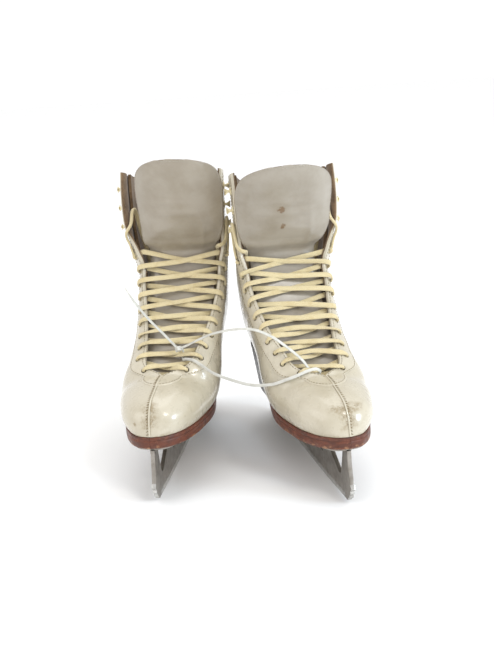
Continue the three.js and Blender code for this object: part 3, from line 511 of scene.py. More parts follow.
class Finish:
    """A node material built from a Principled surface. Colours may be written as #rrggbb."""

    def __init__(self, name, **surface):
        self.material = bpy.data.materials.new(name)
        self.material.use_nodes = True
        self.tree = self.material.node_tree
        self.surface = self.tree.nodes["Principled BSDF"]
        for key, value in surface.items():
            self.surface.inputs[key.replace("_", " ")].default_value = value
        self.at = self.node("TexCoord").outputs["Object"]

    def node(self, kind, inputs=(), **settings):
        n = self.tree.nodes.new("ShaderNode" + kind)
        for key, value in settings.items():
            setattr(n, key, value)
        for key, value in dict(inputs).items():
            self.feed(n, key, value)
        return n

    def feed(self, n, key, value):
        if isinstance(value, bpy.types.NodeSocket):
            self.tree.links.new(value, n.inputs[key])
        else:
            n.inputs[key].default_value = rgb(value) if isinstance(value, str) else value

    def noise(self, size, detail=4.0, rough=0.55, stretch=None):
        """Noise with features of about size millimetres."""
        at = self.at
        if stretch:
            at = self.node("Mapping", {"Vector": at, "Scale": stretch}).outputs[0]
        inputs = {"Vector": at, "Scale": 1000 / size, "Detail": detail, "Roughness": rough}
        return self.node("TexNoise", inputs).outputs["Fac"]

    def cells(self, size):
        return self.node("TexVoronoi", {"Vector": self.at, "Scale": 1000 / size}).outputs["Distance"]

    def curve(self, value, low, high, to_low=0.0, to_high=1.0):
        n = self.node(
            "MapRange",
            {"Value": value, "From Min": low, "From Max": high, "To Min": to_low, "To Max": to_high},
            interpolation_type="SMOOTHSTEP",
        )
        return n.outputs[0]

    def math(self, operation, a, b):
        return self.node("Math", {0: a, 1: b}, operation=operation).outputs[0]

    def mix(self, factor, a, b):
        n = self.node("Mix", {0: factor, 6: a, 7: b}, data_type="RGBA")
        return n.outputs[2]

    def wear(self):
        return self.node("Attribute", attribute_name="wear").outputs["Fac"]

    def patches(self, low, high, *grain, least=0.0, most=1.0, stretch=None):
        """Noise of the given grain turned into patches with soft borders."""
        return self.curve(self.noise(*grain, stretch=stretch), low, high, least, most)

    def blotch(self, under, over, low, high, *grain, **more):
        """One colour laid over another in patches."""
        return self.mix(self.patches(low, high, *grain, **more), under, over)

    def times(self, a, b):
        return self.math("MULTIPLY", a, b)

    def paint(self, colour, rough_low, rough_high, *grain):
        """Sets the colour, and a roughness that wanders between two values."""
        rough = self.patches(0.3, 0.7, *grain, least=rough_low, most=rough_high)
        return self.set(Base_Color=colour, Roughness=rough)

    def bump(self, height, distance, strength):
        """Adds relief of the given depth in millimetres on top of what is there."""
        n = self.node("Bump", {"Height": height, "Distance": distance * MM, "Strength": strength})
        socket = self.surface.inputs["Normal"]
        if socket.is_linked:
            self.tree.links.new(socket.links[0].from_socket, n.inputs["Normal"])
        self.tree.links.new(n.outputs[0], socket)
        return self

    def set(self, **sockets):
        for key, value in sockets.items():
            self.feed(self.surface, key.replace("_", " "), value)
        return self


def white_leather(name, base, shade, coat):
    f = Finish(name, Coat_Weight=coat, Coat_Roughness=0.1, Specular_IOR_Level=0.5)
    colour = f.blotch(base, shade, 0.35, 0.7, 38, 5, 0.6)
    colour = f.blotch(colour, "#a79c84", 0.68, 0.78, 2.2, 3, 0.7, most=0.35)
    worn = f.wear()
    scuff = f.curve(f.times(worn, f.patches(0.28, 0.74, 5, 9, 0.76)), 0.08, 0.62)
    colour = f.mix(scuff, colour, "#988a70")
    deep = f.curve(f.times(worn, f.patches(0.46, 0.7, 1.7, 6, 0.75)), 0.22, 0.75)
    colour = f.mix(deep, colour, "#75664e")
    rough = f.patches(0.3, 0.7, 9, 4, least=0.24, most=0.36)
    f.set(Base_Color=colour, Roughness=f.math("MAXIMUM", rough, f.times(scuff, 0.7)))
    f.bump(f.noise(11, 3), 0.25, 0.35)
    f.bump(f.cells(0.75), 0.05, 0.35)
    f.bump(scuff, -0.05, 0.6)
    return f.material


def layered(name, base, blotches, rough, reliefs, **surface):
    """Blotches of colour over a base, a roughness, and reliefs of noise, each as Finish takes them."""
    f = Finish(name, **surface)
    for blotch in blotches:
        base = f.blotch(base, *blotch)
    f.paint(base, *rough)
    for grain, distance, strength in reliefs:
        f.bump(f.noise(*grain), distance, strength)
    return f.material


def tongue_leather(name, base, shade, stain):
    f = Finish(name, Coat_Weight=0.5, Coat_Roughness=0.2, Specular_IOR_Level=0.5)
    colour = f.blotch(base, shade, 0.35, 0.68, 30, 5, 0.6)
    colour = f.blotch(colour, "#8f8474", 0.6, 0.74, 1.7, 4, 0.75, most=0.3)
    worn = f.curve(f.times(f.wear(), f.patches(0.3, 0.6, 4.5, 6, 0.7)), 0.25, 0.5)
    colour = f.mix(worn, colour, stain)
    f.paint(colour, 0.28, 0.4, 12, 4)
    f.bump(f.noise(16, 4, 0.6), 0.5, 0.35)
    f.bump(f.cells(0.8), 0.06, 0.4)
    return f.material


def sole_leather(name):
    f = Finish(name, Coat_Weight=0.12, Coat_Roughness=0.35, Specular_IOR_Level=0.45)
    colour = f.blotch("#64311c", "#4a2415", 0.35, 0.65, 9, 6, 0.65, stretch=(1, 1, 2.4))
    colour = f.blotch(colour, "#8a5336", 0.55, 0.72, 2.6, 5, 0.75)
    worn = f.curve(f.times(f.wear(), f.patches(0.42, 0.66, 5, 7, 0.7)), 0.25, 0.6)
    colour = f.mix(worn, colour, "#94694a")
    f.paint(colour, 0.38, 0.62, 6, 4)
    f.bump(f.noise(2.2, 5, 0.7, stretch=(1, 1, 3)), 0.3, 0.5)
    return f.material


def black_leather(name):
    f = Finish(name, Coat_Weight=0.2, Coat_Roughness=0.25)
    colour = f.blotch("#1a1614", "#3d332c", 0.5, 0.72, 3, 6, 0.7, stretch=(1, 1, 5))
    colour = f.mix(f.curve(f.times(f.wear(), f.noise(4, 6, 0.7)), 0.3, 0.6), colour, "#6d5c4c")
    f.paint(colour, 0.32, 0.55, 5, 4)
    f.bump(f.noise(1.6, 5, 0.7, stretch=(1, 1, 4)), 0.15, 0.5)
    return f.material


def steel(name, base, dark, rough_low, rough_high):
    return layered(
        name,
        base,
        [(dark, 0.35, 0.7, 12, 6, 0.65), ("#5d534a", 0.6, 0.76, 1.5, 5, 0.8)],
        (rough_low, rough_high, 5, 4),
        [((1.2, 3, 0.6, (1, 0.06, 1)), 0.03, 0.35), ((0.8, 4, 0.7), 0.03, 0.4)],
        Metallic=1.0,
    )


def painted(name, base, under):
    f = Finish(name, Coat_Weight=0.4, Coat_Roughness=0.2)
    chip = f.patches(0.6, 0.66, 1.8, 6, 0.75)
    colour = f.blotch(base, "#c9b98e", 0.35, 0.7, 3, 4)
    f.set(
        Base_Color=f.mix(chip, colour, under),
        Metallic=f.times(chip, 0.8),
        Roughness=f.patches(0.3, 0.7, 2, 4, least=0.3, most=0.5),
    )
    f.bump(chip, -0.06, 0.7)
    return f.material


def woven(name, base, shade, soil):
    """A flat woven tape: u goes round the section, v along it in metres."""
    f = Finish(name, Sheen_Weight=0.3, Sheen_Roughness=0.5, Specular_IOR_Level=0.25)
    uv = f.node("TexCoord").outputs["UV"]
    parts = f.node("SeparateXYZ", {"Vector": uv})
    around, along = parts.outputs[0], parts.outputs[1]
    turns = f.times(around, 2 * math.pi * 9)
    rows = f.times(along, 2 * math.pi * 900)
    left = f.math("SINE", f.math("ADD", rows, turns), 0.0)
    right = f.math("SINE", f.math("SUBTRACT", rows, turns), 0.0)
    weave = f.math("MAXIMUM", left, right)
    # the hollows of the weave are mixed towards the shade colour: painted shade in the weave, next to
    # its bump
    colour = f.mix(f.curve(weave, -0.4, 0.7), shade, base)
    colour = f.blotch(colour, soil, 0.45, 0.72, 9, 5, 0.65, most=0.6)
    f.paint(colour, 0.78, 0.95, 1.2, 3)
    f.bump(weave, 0.14, 0.8)
    f.bump(f.noise(0.5, 3, 0.7), 0.08, 0.5)
    return f.material


def plastic(name, base, shade, rough):
    return layered(
        name,
        base,
        [(shade, 0.35, 0.7, 8, 4)],
        (rough, rough + 0.14, 3, 4),
        [((0.6, 3), 0.02, 0.4)],
        Coat_Weight=0.2,
        Coat_Roughness=0.1,
    )


def thread(name, base, shade):
    return layered(
        name,
        base,
        [(shade, 0.35, 0.7, 2.5, 4, 0.7)],
        (0.7, 0.9, 1, 2),
        [((0.35, 2), 0.06, 0.7)],
        Sheen_Weight=0.3,
        Specular_IOR_Level=0.3,
    )


LEATHER = white_leather("white_leather", "#bfb7a4", "#b0a792", 0.6)
FOLDED = white_leather("folded_edge_leather", "#c5bdaa", "#b6ad98", 0.5)
SUEDE = layered(
    "brown_suede",
    "#786147",
    [("#5a4630", 0.35, 0.65, 14, 6, 0.7), ("#a08967", 0.56, 0.7, 1.3, 4, 0.8)],
    (0.8, 0.98, 4, 3),
    [((0.7, 4, 0.8), 0.2, 0.7)],
    Sheen_Weight=0.25,
    Sheen_Roughness=0.6,
    Specular_IOR_Level=0.2,
)
TONGUES = {
    "right": tongue_leather("grey_tongue_leather", "#9d9485", "#908676", "#82735f"),
    "left": tongue_leather("stained_tongue_leather", "#9a9285", "#8d8475", "#755f48"),
}
SOLE = sole_leather("red_brown_sole_leather")
BLACK = black_leather("black_heel_leather")
STEEL = steel("nickel_steel", "#a19c95", "#88827a", 0.3, 0.46)
GROUND = steel("ground_steel", "#c9c8c4", "#a8a6a1", 0.16, 0.28)
HOOK = painted("cream_hook_paint", "#e4d9b4", "#8b867c")
# the lace's second colour is painted shade for the hollows of its weave
LACE = woven("cotton_lace", "#dfd1aa", "#b7a474", "#c4b081")
AGLET = plastic("aglet_plastic", "#e9e2cc", "#d6ccb0", 0.22)
NYLON = plastic("white_nylon", "#cfcec7", "#bdbcb4", 0.32)
FELT = layered(
    "footbed_felt",
    "#a99778",
    [("#8c7b5e", 0.35, 0.65, 16, 6, 0.7)],
    (0.85, 1.0, 2, 4, 0.7),
    [((0.9, 5, 0.8), 0.25, 0.7)],
    Sheen_Weight=0.3,
    Sheen_Roughness=0.6,
    Specular_IOR_Level=0.15,
)
THREAD = thread("tan_thread", "#8f8267", "#75694f")
DARK_THREAD = thread("dark_thread", "#8c7c5d", "#6f6145")
GREY_THREAD = thread("grey_thread", "#a59c8f", "#8e8578")


# ---------- the lace and its free ends ----------
def middle_of(row, depth):
    s = (row_station(row) + row_station(row + 1)) / 2
    return (skin(MEDIAL, s, 1, depth) + skin(LATERAL, s, 1, depth)) / 2, s


EYELET, RUN = (1.45, 1.1), (2.5, 0.62)


def lace_points():
    """Control points of the lacing with the station and the half width and thickness at each."""

    def at(point, s, size):
        return (point, s, size)

    def through(side, row):
        heights = (-LACE_UNDER, -UPPER_THICK / 2, LACE_OVER)
        return [at(over_eyelet(side, row, h), row_station(row), EYELET) for h in heights]

    def strand(side):
        out = through(side, 0)
        for row in range(EYELET_ROWS - 1):
            begin = -side if row % 2 else side
            depth = 1.0 if begin == LATERAL else 4.8
            s0, s1 = row_station(row), row_station(row + 1)
            slant = 0.12 * (s1 - s0)
            over = skin(begin, s0 + slant, 1, -LACE_OVER - 0.6)
            middle, s_mid = middle_of(row, depth)
            under = skin(-begin, s1 - slant, 1, LACE_UNDER + 0.4)
            out += [at(over, s0 + slant, RUN), at(middle, s_mid, RUN), at(under, s1 - slant, RUN)]
            out += through(-begin, row + 1)
        return out

    top = row_station(EYELET_ROWS - 1) + 0.25
    ends = {
        side: at(on_quarter(side, top, EYELET_INSET, LACE_OVER), top, RUN)
        for side in (MEDIAL, LATERAL)
    }
    base = (over_eyelet(MEDIAL, 0, -LACE_BASE) + over_eyelet(LATERAL, 0, -LACE_BASE)) / 2
    lowest = at(base, row_station(0), RUN)
    return [ends[MEDIAL], *strand(LATERAL)[::-1], lowest, *strand(MEDIAL), ends[LATERAL]]


def lacing(skate):
    controls = lace_points()
    points = np.array([c[0] for c in controls])
    ways = np.array([up_shaft(c[1]) for c in controls])
    sizes = np.array([c[2] for c in controls])
    free = sizes[:, 0] > 2
    drift = rng.normal(0, 0.95, len(points)) * free
    points = points + ways * drift[:, None]
    per = 7
    path, way, size = densify(points, per), densify(ways, per), densify(sizes, per)
    turn = densify(rng.normal(0, 0.33, len(points)) * free, per)
    half_width, half_thick = np.clip(size[:, 0], 1.4, 2.5), np.clip(size[:, 1], 0.6, 1.15)
    rings = ribbon(path, way, half_width, half_thick, 14, 3.0, turn)
    shape = Shape().tube(rings, v_of=lengths(path) * MM)
    return piece(skate, "lace", shape, [LACE], replaces=["lacing"], sharp=60)


def tail(skate, which, points):
    path = densify(points, 6)
    rings = ribbon(path, carried(path, (0.2, 1.0, 0.1)), 2.1, 1.15, 14, 2.8)
    shape = Shape().tube(rings, v_of=lengths(path) * MM)
    replaced = [f"lace_tail_{which}"]
    cord = piece(skate, f"lace_end_{which}", shape, [LACE], replaces=replaced, sharp=60)
    end = path[-1]
    way = unit(np.array(points[-1], float) - np.array(points[-2], float))
    profile = [(0.4, 0), (1.7, 0.05), (1.85, 0.4), (1.85, 2), (1.6, 2.5), (1.85, 3), (1.85, 4.6)]
    profile += [(1.6, 5.1), (1.85, 5.6), (1.85, 20.6), (1.7, 21.5), (1.2, 21.95), (0.3, 22)]
    sheath = piece(
        skate,
        f"aglet_sheath_{which}",
        Shape().tube(lathe(profile, end + way * GAP, way, 20)),
        [AGLET],
        replaces=[f"aglet_{which}"],
    )


for name in SKATES:
    lacing(name)
    tail(name, "lateral", TAIL_LATERAL)
    tail(name, "medial", TAIL_MEDIAL)


# ---------- leather uppers ----------
# distances from an edge where its rounding is resolved
EDGE = np.array([0, 0.12, 0.35, 0.7, 1.1, 1.6, 2.4])
EDGE_DEPTH = 1.5  # where the outer leather meets the brown leather that backs it


def edge_depths(distance):
    """Outer and inner depth of the quarter at a distance from its free edge."""
    outer = EDGE_DEPTH * (1 - rounded(distance, EDGE_DEPTH))
    inner = EDGE_DEPTH + (UPPER_THICK - EDGE_DEPTH) * rounded(distance, 0.8) ** 0.6
    return outer, inner


def collar_rows():
    step = 1 / np.linalg.norm(spline(FRONT, 20) - spline(FRONT, 19))
    fine = COLLAR - EDGE[::-1] * step
    toe = [0, 0.06, 0.15, 0.3, 0.5, 0.75]
    return np.concatenate([toe, np.arange(1, 19.8, 0.2), fine])


def quarter_grid(side):
    s = collar_rows()
    inside = inset_t(side, s, EDGE)
    base = np.linspace(0, 1, 34)[:-1]
    t = np.concatenate([base[None, :] * inside[:, -1:], inside[:, ::-1]], axis=1)
    far = np.full((len(s), len(base)), 99.0)
    distance = np.concatenate([far, np.tile(EDGE[::-1], (len(s), 1))], axis=1)
    step = np.linalg.norm(spline(FRONT, 20) - spline(FRONT, 19))
    distance = np.minimum(distance, ((COLLAR - s) * step)[:, None])
    return s[:, None] + 0 * t, t, distance


def creases(s, t):
    """Height of the soft folds that walking and lacing leave in the leather, in millimetres."""
    fold = 0.45 * np.sin(9.5 * s + 5 * t) * hump(s, 11.6, 1.1) * hump(t, 0.62, 0.24)
    fold += 0.35 * np.sin(7.2 * s - 4 * t + 1) * hump(s, 8.6, 0.9) * hump(t, 0.66, 0.2)
    fold += 0.4 * np.sin(3.1 * s + 9 * t) * hump(s, 17, 1.6) * hump(t, 0.5, 0.3)
    return fold


def upper(skate, side, which):
    s, t, distance = quarter_grid(side)
    outer, inner = edge_depths(distance)
    rows, cols = s.shape
    grids = []
    for depth in (outer - creases(s, t) * smoothstep(1, 9, distance), inner):
        p = skin(side, s, t, depth)
        bend = spline(BEND, s)
        middle = spline(LEAN, s) * bezier([0 * s, bend[..., 0], bend[..., 1], 1 + 0 * s], t)
        p[..., 0] = middle + side * np.maximum(side * (p[..., 0] - middle), 0.15)
        grids.append(p)
    seam = np.abs(grids[0][..., 0] - spline(LEAN, s))
    wear = 0.95 * hump(seam, 0, 8.5) * smoothstep(0.6, 1.4, s) * (1 - smoothstep(3.2, 4.6, s))
    wear += 0.5 * (1 - smoothstep(0.06, 0.3, t)) * (1 - smoothstep(7, 12, s))
    if skate == "right":
        spot = (s - 2.1) ** 2 / 0.05 + (t - 0.52) ** 2 / 0.0035
        wear += 1.1 * np.exp(-spot) * (side == LATERAL)
    else:
        spot = (s - 3.4) ** 2 / 0.35 + (t - 0.8) ** 2 / 0.02
        wear += 0.6 * np.exp(-spot)
    shape = Shape()
    faces = grid_faces(rows, cols)
    shape.add(grids[0], faces, 0, wear)
    shape.add(grids[1], faces, 1, wear)
    start = rows * cols
    rim = [[i, i + cols, start + i + cols, start + i] for i in range(0, start - cols, cols)]
    toe = [[j, j + 1, start + j + 1, start + j] for j in range(cols - 1)]
    shape.join(rim + toe, 1)
    obj = piece(skate, f"{which}_quarter", shape, [LEATHER, SUEDE],
                replaces=[f"upper_{which}"], sharp=50)
    return cut(obj, eyelet_cutters(side), skate)


def eyelet_cutters(side):
    shape = Shape()
    for row in range(EYELET_ROWS):
        top, bottom = over_eyelet(side, row, 4), over_eyelet(side, row, -8)
        profile = [(EYELET_RADIUS, 0), (EYELET_RADIUS, np.linalg.norm(top - bottom))]
        shape.tube(lathe(profile, bottom, top - bottom, 18))
    return shape


def facing_point(side, place, d):
    """Place and distance from the edge on the eyestay facing as (s, t). place runs from -1 at the toe
    seam below the throat, by an arc, to 0 at the throat and on up by station."""
    reach = np.linalg.norm(spline(FRONT, 7) - spline(FRONT, 6))
    angle = math.pi / 2 * (1 + np.clip(-place, 0, 1))
    s = np.where(place < 0, THROAT + d * np.cos(angle) / reach, THROAT + np.maximum(place, 0))
    inset = np.where(place < 0, d * np.sin(angle), d)
    s = np.minimum(s, COLLAR)
    t = inset_t(side, s.reshape(-1), inset.reshape(-1, 1))[:, 0].reshape(s.shape)
    return s, t


def facing(skate, side, which):
    up = np.concatenate([np.linspace(0, 1, 9)[:-1], np.arange(1, 12.9, 0.25), [12.93, FACING_TOP]])
    places = np.concatenate([np.linspace(-1, -0.1, 10), up])
    inset = [FACING_FROM, 0.6, 0.85, 1.2, 2, *np.arange(3.5, 16, 2), 17.2, 18.1, 18.6, 18.85, FACING_TO]
    place, d = np.meshgrid(places, inset, indexing="ij")
    s, t = facing_point(side, place, d)
    edge = np.minimum(np.minimum(d - FACING_FROM, FACING_TO - d), (FACING_TOP - place) * 19)
    rise = FACING_RISE * rounded(edge, 0.7)
    outer = skin(side, s, t, -rise - creases(s, t) * smoothstep(1, 9, d) + 0.1)
    under = skin(side, s, t, 0.35 + 0 * s)
    faces = grid_faces(*s.shape)
    shape = Shape().add(outer, faces).add(under, faces).join_borders(*s.shape)
    obj = piece(skate, f"{which}_facing", shape, [FOLDED], sharp=50)
    return cut(obj, eyelet_cutters(side), skate)


def facing_stitches(skate, side, which):
    shape = Shape()
    for d, begin in ((2.7, -0.95), (16.9, -0.97)):
        place = np.concatenate([np.linspace(begin, 0, 14)[:-1], np.arange(0, 12.85, 0.1)])
        s, t = facing_point(side, place, np.full(place.shape, d))
        normals = -inward(side, s, t)
        path = skin(side, s, t, -FACING_RISE + 0.02 - creases(s, t) * smoothstep(1, 9, d))
        stitches(path, normals, 3.0, 2.3, 0.3, shape=shape)
    piece(skate, f"{which}_facing_stitches", shape, [THREAD], sharp=60)


def toe_seam(skate):
    s = np.linspace(0.12, 6.85, 110)
    path = (skin(MEDIAL, s, 1 + 0 * s, 0 * s) + skin(LATERAL, s, 1 + 0 * s, 0 * s)) / 2
    normals = unit(-inward(MEDIAL, s, 1 + 0 * s) - inward(LATERAL, s, 1 + 0 * s))
    across = np.cross(unit(np.gradient(path, axis=0)), normals)
    path = path + normals * (FACING_RISE * smoothstep(5.45, 5.75, s))[:, None]
    ridge = ribbon(path + normals * 0.2, across, 0.85, 0.8, 10, 2.2)
    piece(skate, "toe_seam", Shape().tube(ridge), [FOLDED])
    shape = stitches(path + across * 1.5 + normals * 0.2, normals, 2.8, 3.0, 0.34, tilt=1.05)
    piece(skate, "toe_seam_stitches", shape, [DARK_THREAD], sharp=60)


STRAP_HALF, STRAP_FOOT, STRAP_REACH = 22, 15.5, 1 / 6


def backstay(skate):
    s = np.concatenate([np.arange(STRAP_FOOT, 19.9, 0.12), [19.93, 19.97, 20.0]])
    u = np.array([-1, -0.985, -0.95, -0.9, -0.75, -0.6, -0.45, -0.3, -0.15, -0.05, 0])
    u = np.concatenate([u, -u[:-1][::-1]])
    ends = np.minimum((COLLAR - s) * 30, (s - STRAP_FOOT) * 30)
    edge = np.minimum((1 - np.abs(u))[None, :] * STRAP_HALF, ends[:, None])
    rise = 1.5 * rounded(edge, 1.1)
    rise = rise + 0.5 * hump(u * STRAP_HALF, 0, 1.6)[None, :]
    grids = []
    for depth in (-0.2 - rise, 0.3 + 0 * rise):
        sides = [skin(MEDIAL, s[:, None], -u[None, u < 0] * STRAP_REACH, depth[:, u < 0])]
        centre = skin(LATERAL, s[:, None], u[None, u == 0] * STRAP_REACH, depth[:, u == 0])
        centre[..., 0] = 0
        sides += [centre, skin(LATERAL, s[:, None], u[None, u > 0] * STRAP_REACH, depth[:, u > 0])]
        grids.append(np.concatenate(sides, axis=1))
    rings = np.concatenate([grids[0], grids[1][:, ::-1]], axis=1)
    piece(skate, "back_strap", Shape().tube(rings), [LEATHER],
          replaces=["backstay"], sharp=50)
    shape = Shape()
    for side in (MEDIAL, LATERAL):
        rows = np.arange(15.6, 19.95, 0.05)
        t = 0 * rows + STRAP_REACH * 0.86
        path = skin(side, rows, t, 0 * rows - 1.72)
        stitches(path, -inward(side, rows, t), 3.0, 2.3, 0.32, shape=shape)
    piece(skate, "back_strap_stitches", shape, [THREAD], sharp=60)


def end_turn(s):
    return np.maximum(1 - s / 3, 0) - np.maximum((s - HEEL_STATION + 3) / 3, 0)


def feather(side, s, margin):
    half = np.maximum(spline(HALF[side][:, 0], s), 0)
    return side * (half + np.where(half > 0, margin, 0))


def lining(skate):
    s = np.concatenate([[0, 0.2, 0.5], np.arange(1, 20.01, 0.25)])
    k = np.linspace(0, 1, 15)
    on_sole = (s > 0) & (s < HEEL_STATION)
    distance = LINING_SETBACK * np.clip(s - (THROAT - 1), 0, 1)
    by, bz = spline(BACK, s).T

    def grid(depth, lift):
        halves = {}
        floor_y = by + depth * end_turn(s)
        for side in (MEDIAL, LATERAL):
            end = inset_t(side, s, distance[:, None])
            p = skin(side, s[:, None], k[None, :] * end, depth + 0 * end * k)
            closed = s <= THROAT - 1
            other = skin(-side, s[closed], 1 + 0 * s[closed], depth + 0 * s[closed])
            p[closed, -1] = (p[closed, -1] + other) / 2
            floor = np.stack([feather(side, s, -depth), floor_y, bz + GAP + lift], axis=-1)
            p[on_sole, 0] = floor[on_sole]
            halves[side] = p
        middle = skin(LATERAL, s, 0 * s, depth + 0 * s)
        middle[:, 0] = 0
        flat = np.stack([0 * s, floor_y, bz + GAP + lift], axis=-1)
        middle[on_sole] = flat[on_sole]
        return np.concatenate([halves[MEDIAL][:, ::-1], middle[:, None], halves[LATERAL]], axis=1)

    outer = grid(UPPER_THICK + LINING_CLEAR, 0)
    inner = grid(UPPER_THICK + LINING_CLEAR + LINING_THICK, LINING_THICK)
    rings = np.concatenate([outer, inner[:, ::-1]], axis=1)
    piece(skate, "suede_lining", Shape().tube(rings), [SUEDE],
          replaces=["lining"], sharp=60)


# ---------- sole, heel, plates and blade ----------
def sole_under(y, z):
    thick = 11 + (6 - 11) * smoothstep(100, 165, y)
    return np.maximum(np.minimum(z, HEEL_SEAT) - GAP - thick, SOLE_BOTTOM)


def sole_solid(rows, margin, top_at, bottom_at, profile, taper=1.0, wear=None):
    """A solid over the sole's outline. profile: (outward offset, height share, slot) up its side."""
    rows = np.asarray(rows, float)
    y, z = spline(BACK, rows).T
    half = {side: np.abs(feather(side, rows, 0)) for side in (MEDIAL, LATERAL)}
    top, bottom = top_at(y, z), bottom_at(y, z)
    dy = np.gradient(y)
    side_points = {}
    for side in (MEDIAL, LATERAL):
        dh = np.gradient(half[side])
        normal = unit(np.stack([side * dy, -dh], axis=-1))
        points = []
        for offset, share, _ in profile:
            xy = np.stack([side * half[side], y], axis=-1) + normal * (margin + offset)
            scale = taper + (1 - taper) * share
            x, yy = xy[:, 0] * scale, HEEL_MIDDLE + (xy[:, 1] - HEEL_MIDDLE) * scale
            points.append(np.stack([x, yy, bottom + (top - bottom) * share], axis=-1))
        side_points[side] = np.stack(points, axis=1)
    lateral, medial = side_points[LATERAL], side_points[MEDIAL]
    inner = np.linspace(0, 1, 9)[1:-1]
    over = lateral[:, -1:] + (medial[:, -1:] - lateral[:, -1:]) * inner[None, :, None]
    below = medial[:, :1] + (lateral[:, :1] - medial[:, :1]) * inner[None, :, None]
    rings = np.concatenate([lateral, over, medial[:, ::-1], below], axis=1)
    shape = Shape().tube(rings)
    n, m = rings.shape[:2]
    count = len(profile)
    columns = [p[2] for p in profile]
    pick = [columns[j] for j in range(count - 1)] + [columns[-1]] * (len(inner) + 1)
    pick += [columns[j] for j in range(count - 2, -1, -1)] + [columns[0]] * (len(inner) + 1)
    shape.slots = [pick[j] for _ in range(n - 1) for j in range(m)] + [0, 0]
    if wear is not None:
        shape.values = [wear(rings).reshape(-1)]
    return shape


TOE_ROWS = np.concatenate([[0, 0.04, 0.1, 0.18, 0.3, 0.45, 0.6, 0.8], np.arange(1, 14, 0.2)])
HEEL_ROWS = np.array([14, 14.2, 14.4, 14.6, 14.75, 14.87, 14.95, 15])


def outsole(skate):
    profile = [(-1.4, 0, 0), (-0.7, 0.03, 0), (-0.15, 0.1, 0), (0.05, 0.25, 0)]
    profile += [(0.1, 0.5, 0), (0.05, 0.66, 0)]
    profile += [(-0.35, 0.7, 0), (0.05, 0.74, 0), (0.1, 0.86, 0), (-0.1, 0.96, 0), (-0.6, 1.0, 0)]

    def wear(rings):
        low = 1 - smoothstep(0.5, 5, rings[..., 2] - rings[..., 2].min(axis=1, keepdims=True))
        return 0.8 * low * (1 - smoothstep(60, 120, rings[..., 1])) + 0.15

    def top(y, z):
        return np.minimum(z, HEEL_SEAT) - GAP

    rows = np.concatenate([TOE_ROWS, HEEL_ROWS])
    shape = sole_solid(rows, SOLE_MARGIN, top, sole_under, profile, wear=wear)
    verts = np.concatenate(shape.verts)
    centres = np.array([np.mean(verts[f], axis=0) for f in shape.faces])
    shape.slots = [1 if c[1] > 128 else 0 for c in centres]
    piece(skate, "leather_sole", shape, [SOLE, BLACK], replaces=["outsole"], sharp=50)


def heel(skate):
    profile = [(-0.8, 0, 0), (-0.15, 0.03, 0)]
    lifts = 6
    for k in range(lifts):
        low, high = k / lifts, (k + 1) / lifts
        profile += [(0.0, low + 0.03, 0), (0.08, low + 0.08, 0), (0.0, high - 0.02, 0)]
        if k < lifts - 1:
            profile += [(-0.22, high, 0)]
    profile += [(-0.3, 1.0, 0)]
    rows = np.concatenate([np.arange(10.8, 14, 0.2), HEEL_ROWS])

    def wear(rings):
        return 1 - smoothstep(0, 6, rings[..., 2] - HEEL_BOTTOM)

    def top(y, z):
        return sole_under(y, z) - GAP

    def bottom(y, z):
        return HEEL_BOTTOM + 0 * y

    shape = sole_solid(rows, HEEL_MARGIN, top, bottom, profile, HEEL_TAPER, wear)
    piece(skate, "stacked_heel", shape, [BLACK], replaces=["heel"], sharp=50)


def footbed(skate):
    base = GAP + LINING_THICK + GAP
    profile = [(-0.3, 0, 0), (0, 0.25, 0), (0, 0.6, 0), (-0.5, 0.95, 0), (-1.2, 1, 0)]

    def top(y, z):
        return z + base + FOOTBED_THICK

    def bottom(y, z):
        return z + base

    shape = sole_solid(np.arange(2.4, 13.31, 0.1), FOOTBED_MARGIN, top, bottom, profile)
    piece(skate, "felt_footbed", shape, [FELT], replaces=["footbed"], sharp=50)


def bevelled_plate(outlines, thickness, bevel):
    """A flat plate from closed outlines in its own plane, with rounded rims: vertices and faces."""
    bm = bmesh.new()
    edges = []
    for outline in outlines:
        verts = [bm.verts.new((x, y, -thickness / 2)) for x, y in outline]
        edges += [bm.edges.new((a, b)) for a, b in zip(verts, verts[1:] + verts[:1])]
    bmesh.ops.triangle_fill(bm, edges=edges, use_beauty=True, use_dissolve=False)
    top = bmesh.ops.extrude_face_region(bm, geom=list(bm.faces))["geom"]
    raised = [g for g in top if isinstance(g, bmesh.types.BMVert)]
    bmesh.ops.translate(bm, vec=(0, 0, thickness), verts=raised)
    bmesh.ops.recalc_face_normals(bm, faces=bm.faces)
    level = [e for e in bm.edges if abs(e.verts[0].co.z - e.verts[1].co.z) < 1e-6]
    rims = [e for e in level if len(e.link_faces) == 2 and e.calc_face_angle() > 1.2]
    bmesh.ops.bevel(
        bm, geom=rims, offset=bevel, segments=2, profile=0.6, affect="EDGES", clamp_overlap=True
    )
    bm.verts.index_update()
    verts = np.array([v.co[:] for v in bm.verts])
    faces = [[v.index for v in f.verts] for f in bm.faces]
    bm.free()
    return verts, faces


def quadratic(a, b, c):
    f = np.linspace(0, 1, 11)[:, None]
    a, b, c = (np.array(p, float) for p in (a, b, c))
    return ((1 - f) ** 2 * a + 2 * f * (1 - f) * b + f * f * c).tolist()


TOE_PLATE_TOP = SOLE_BOTTOM - GAP
HEEL_PLATE_TOP = HEEL_BOTTOM - GAP
TOE_PICKS = [(-2, 17), (1, 14.5), (0.5, 12), (3.5, 9.5), (4, 7), (7, 6), (8.5, 3.5), (12, 2.2)]


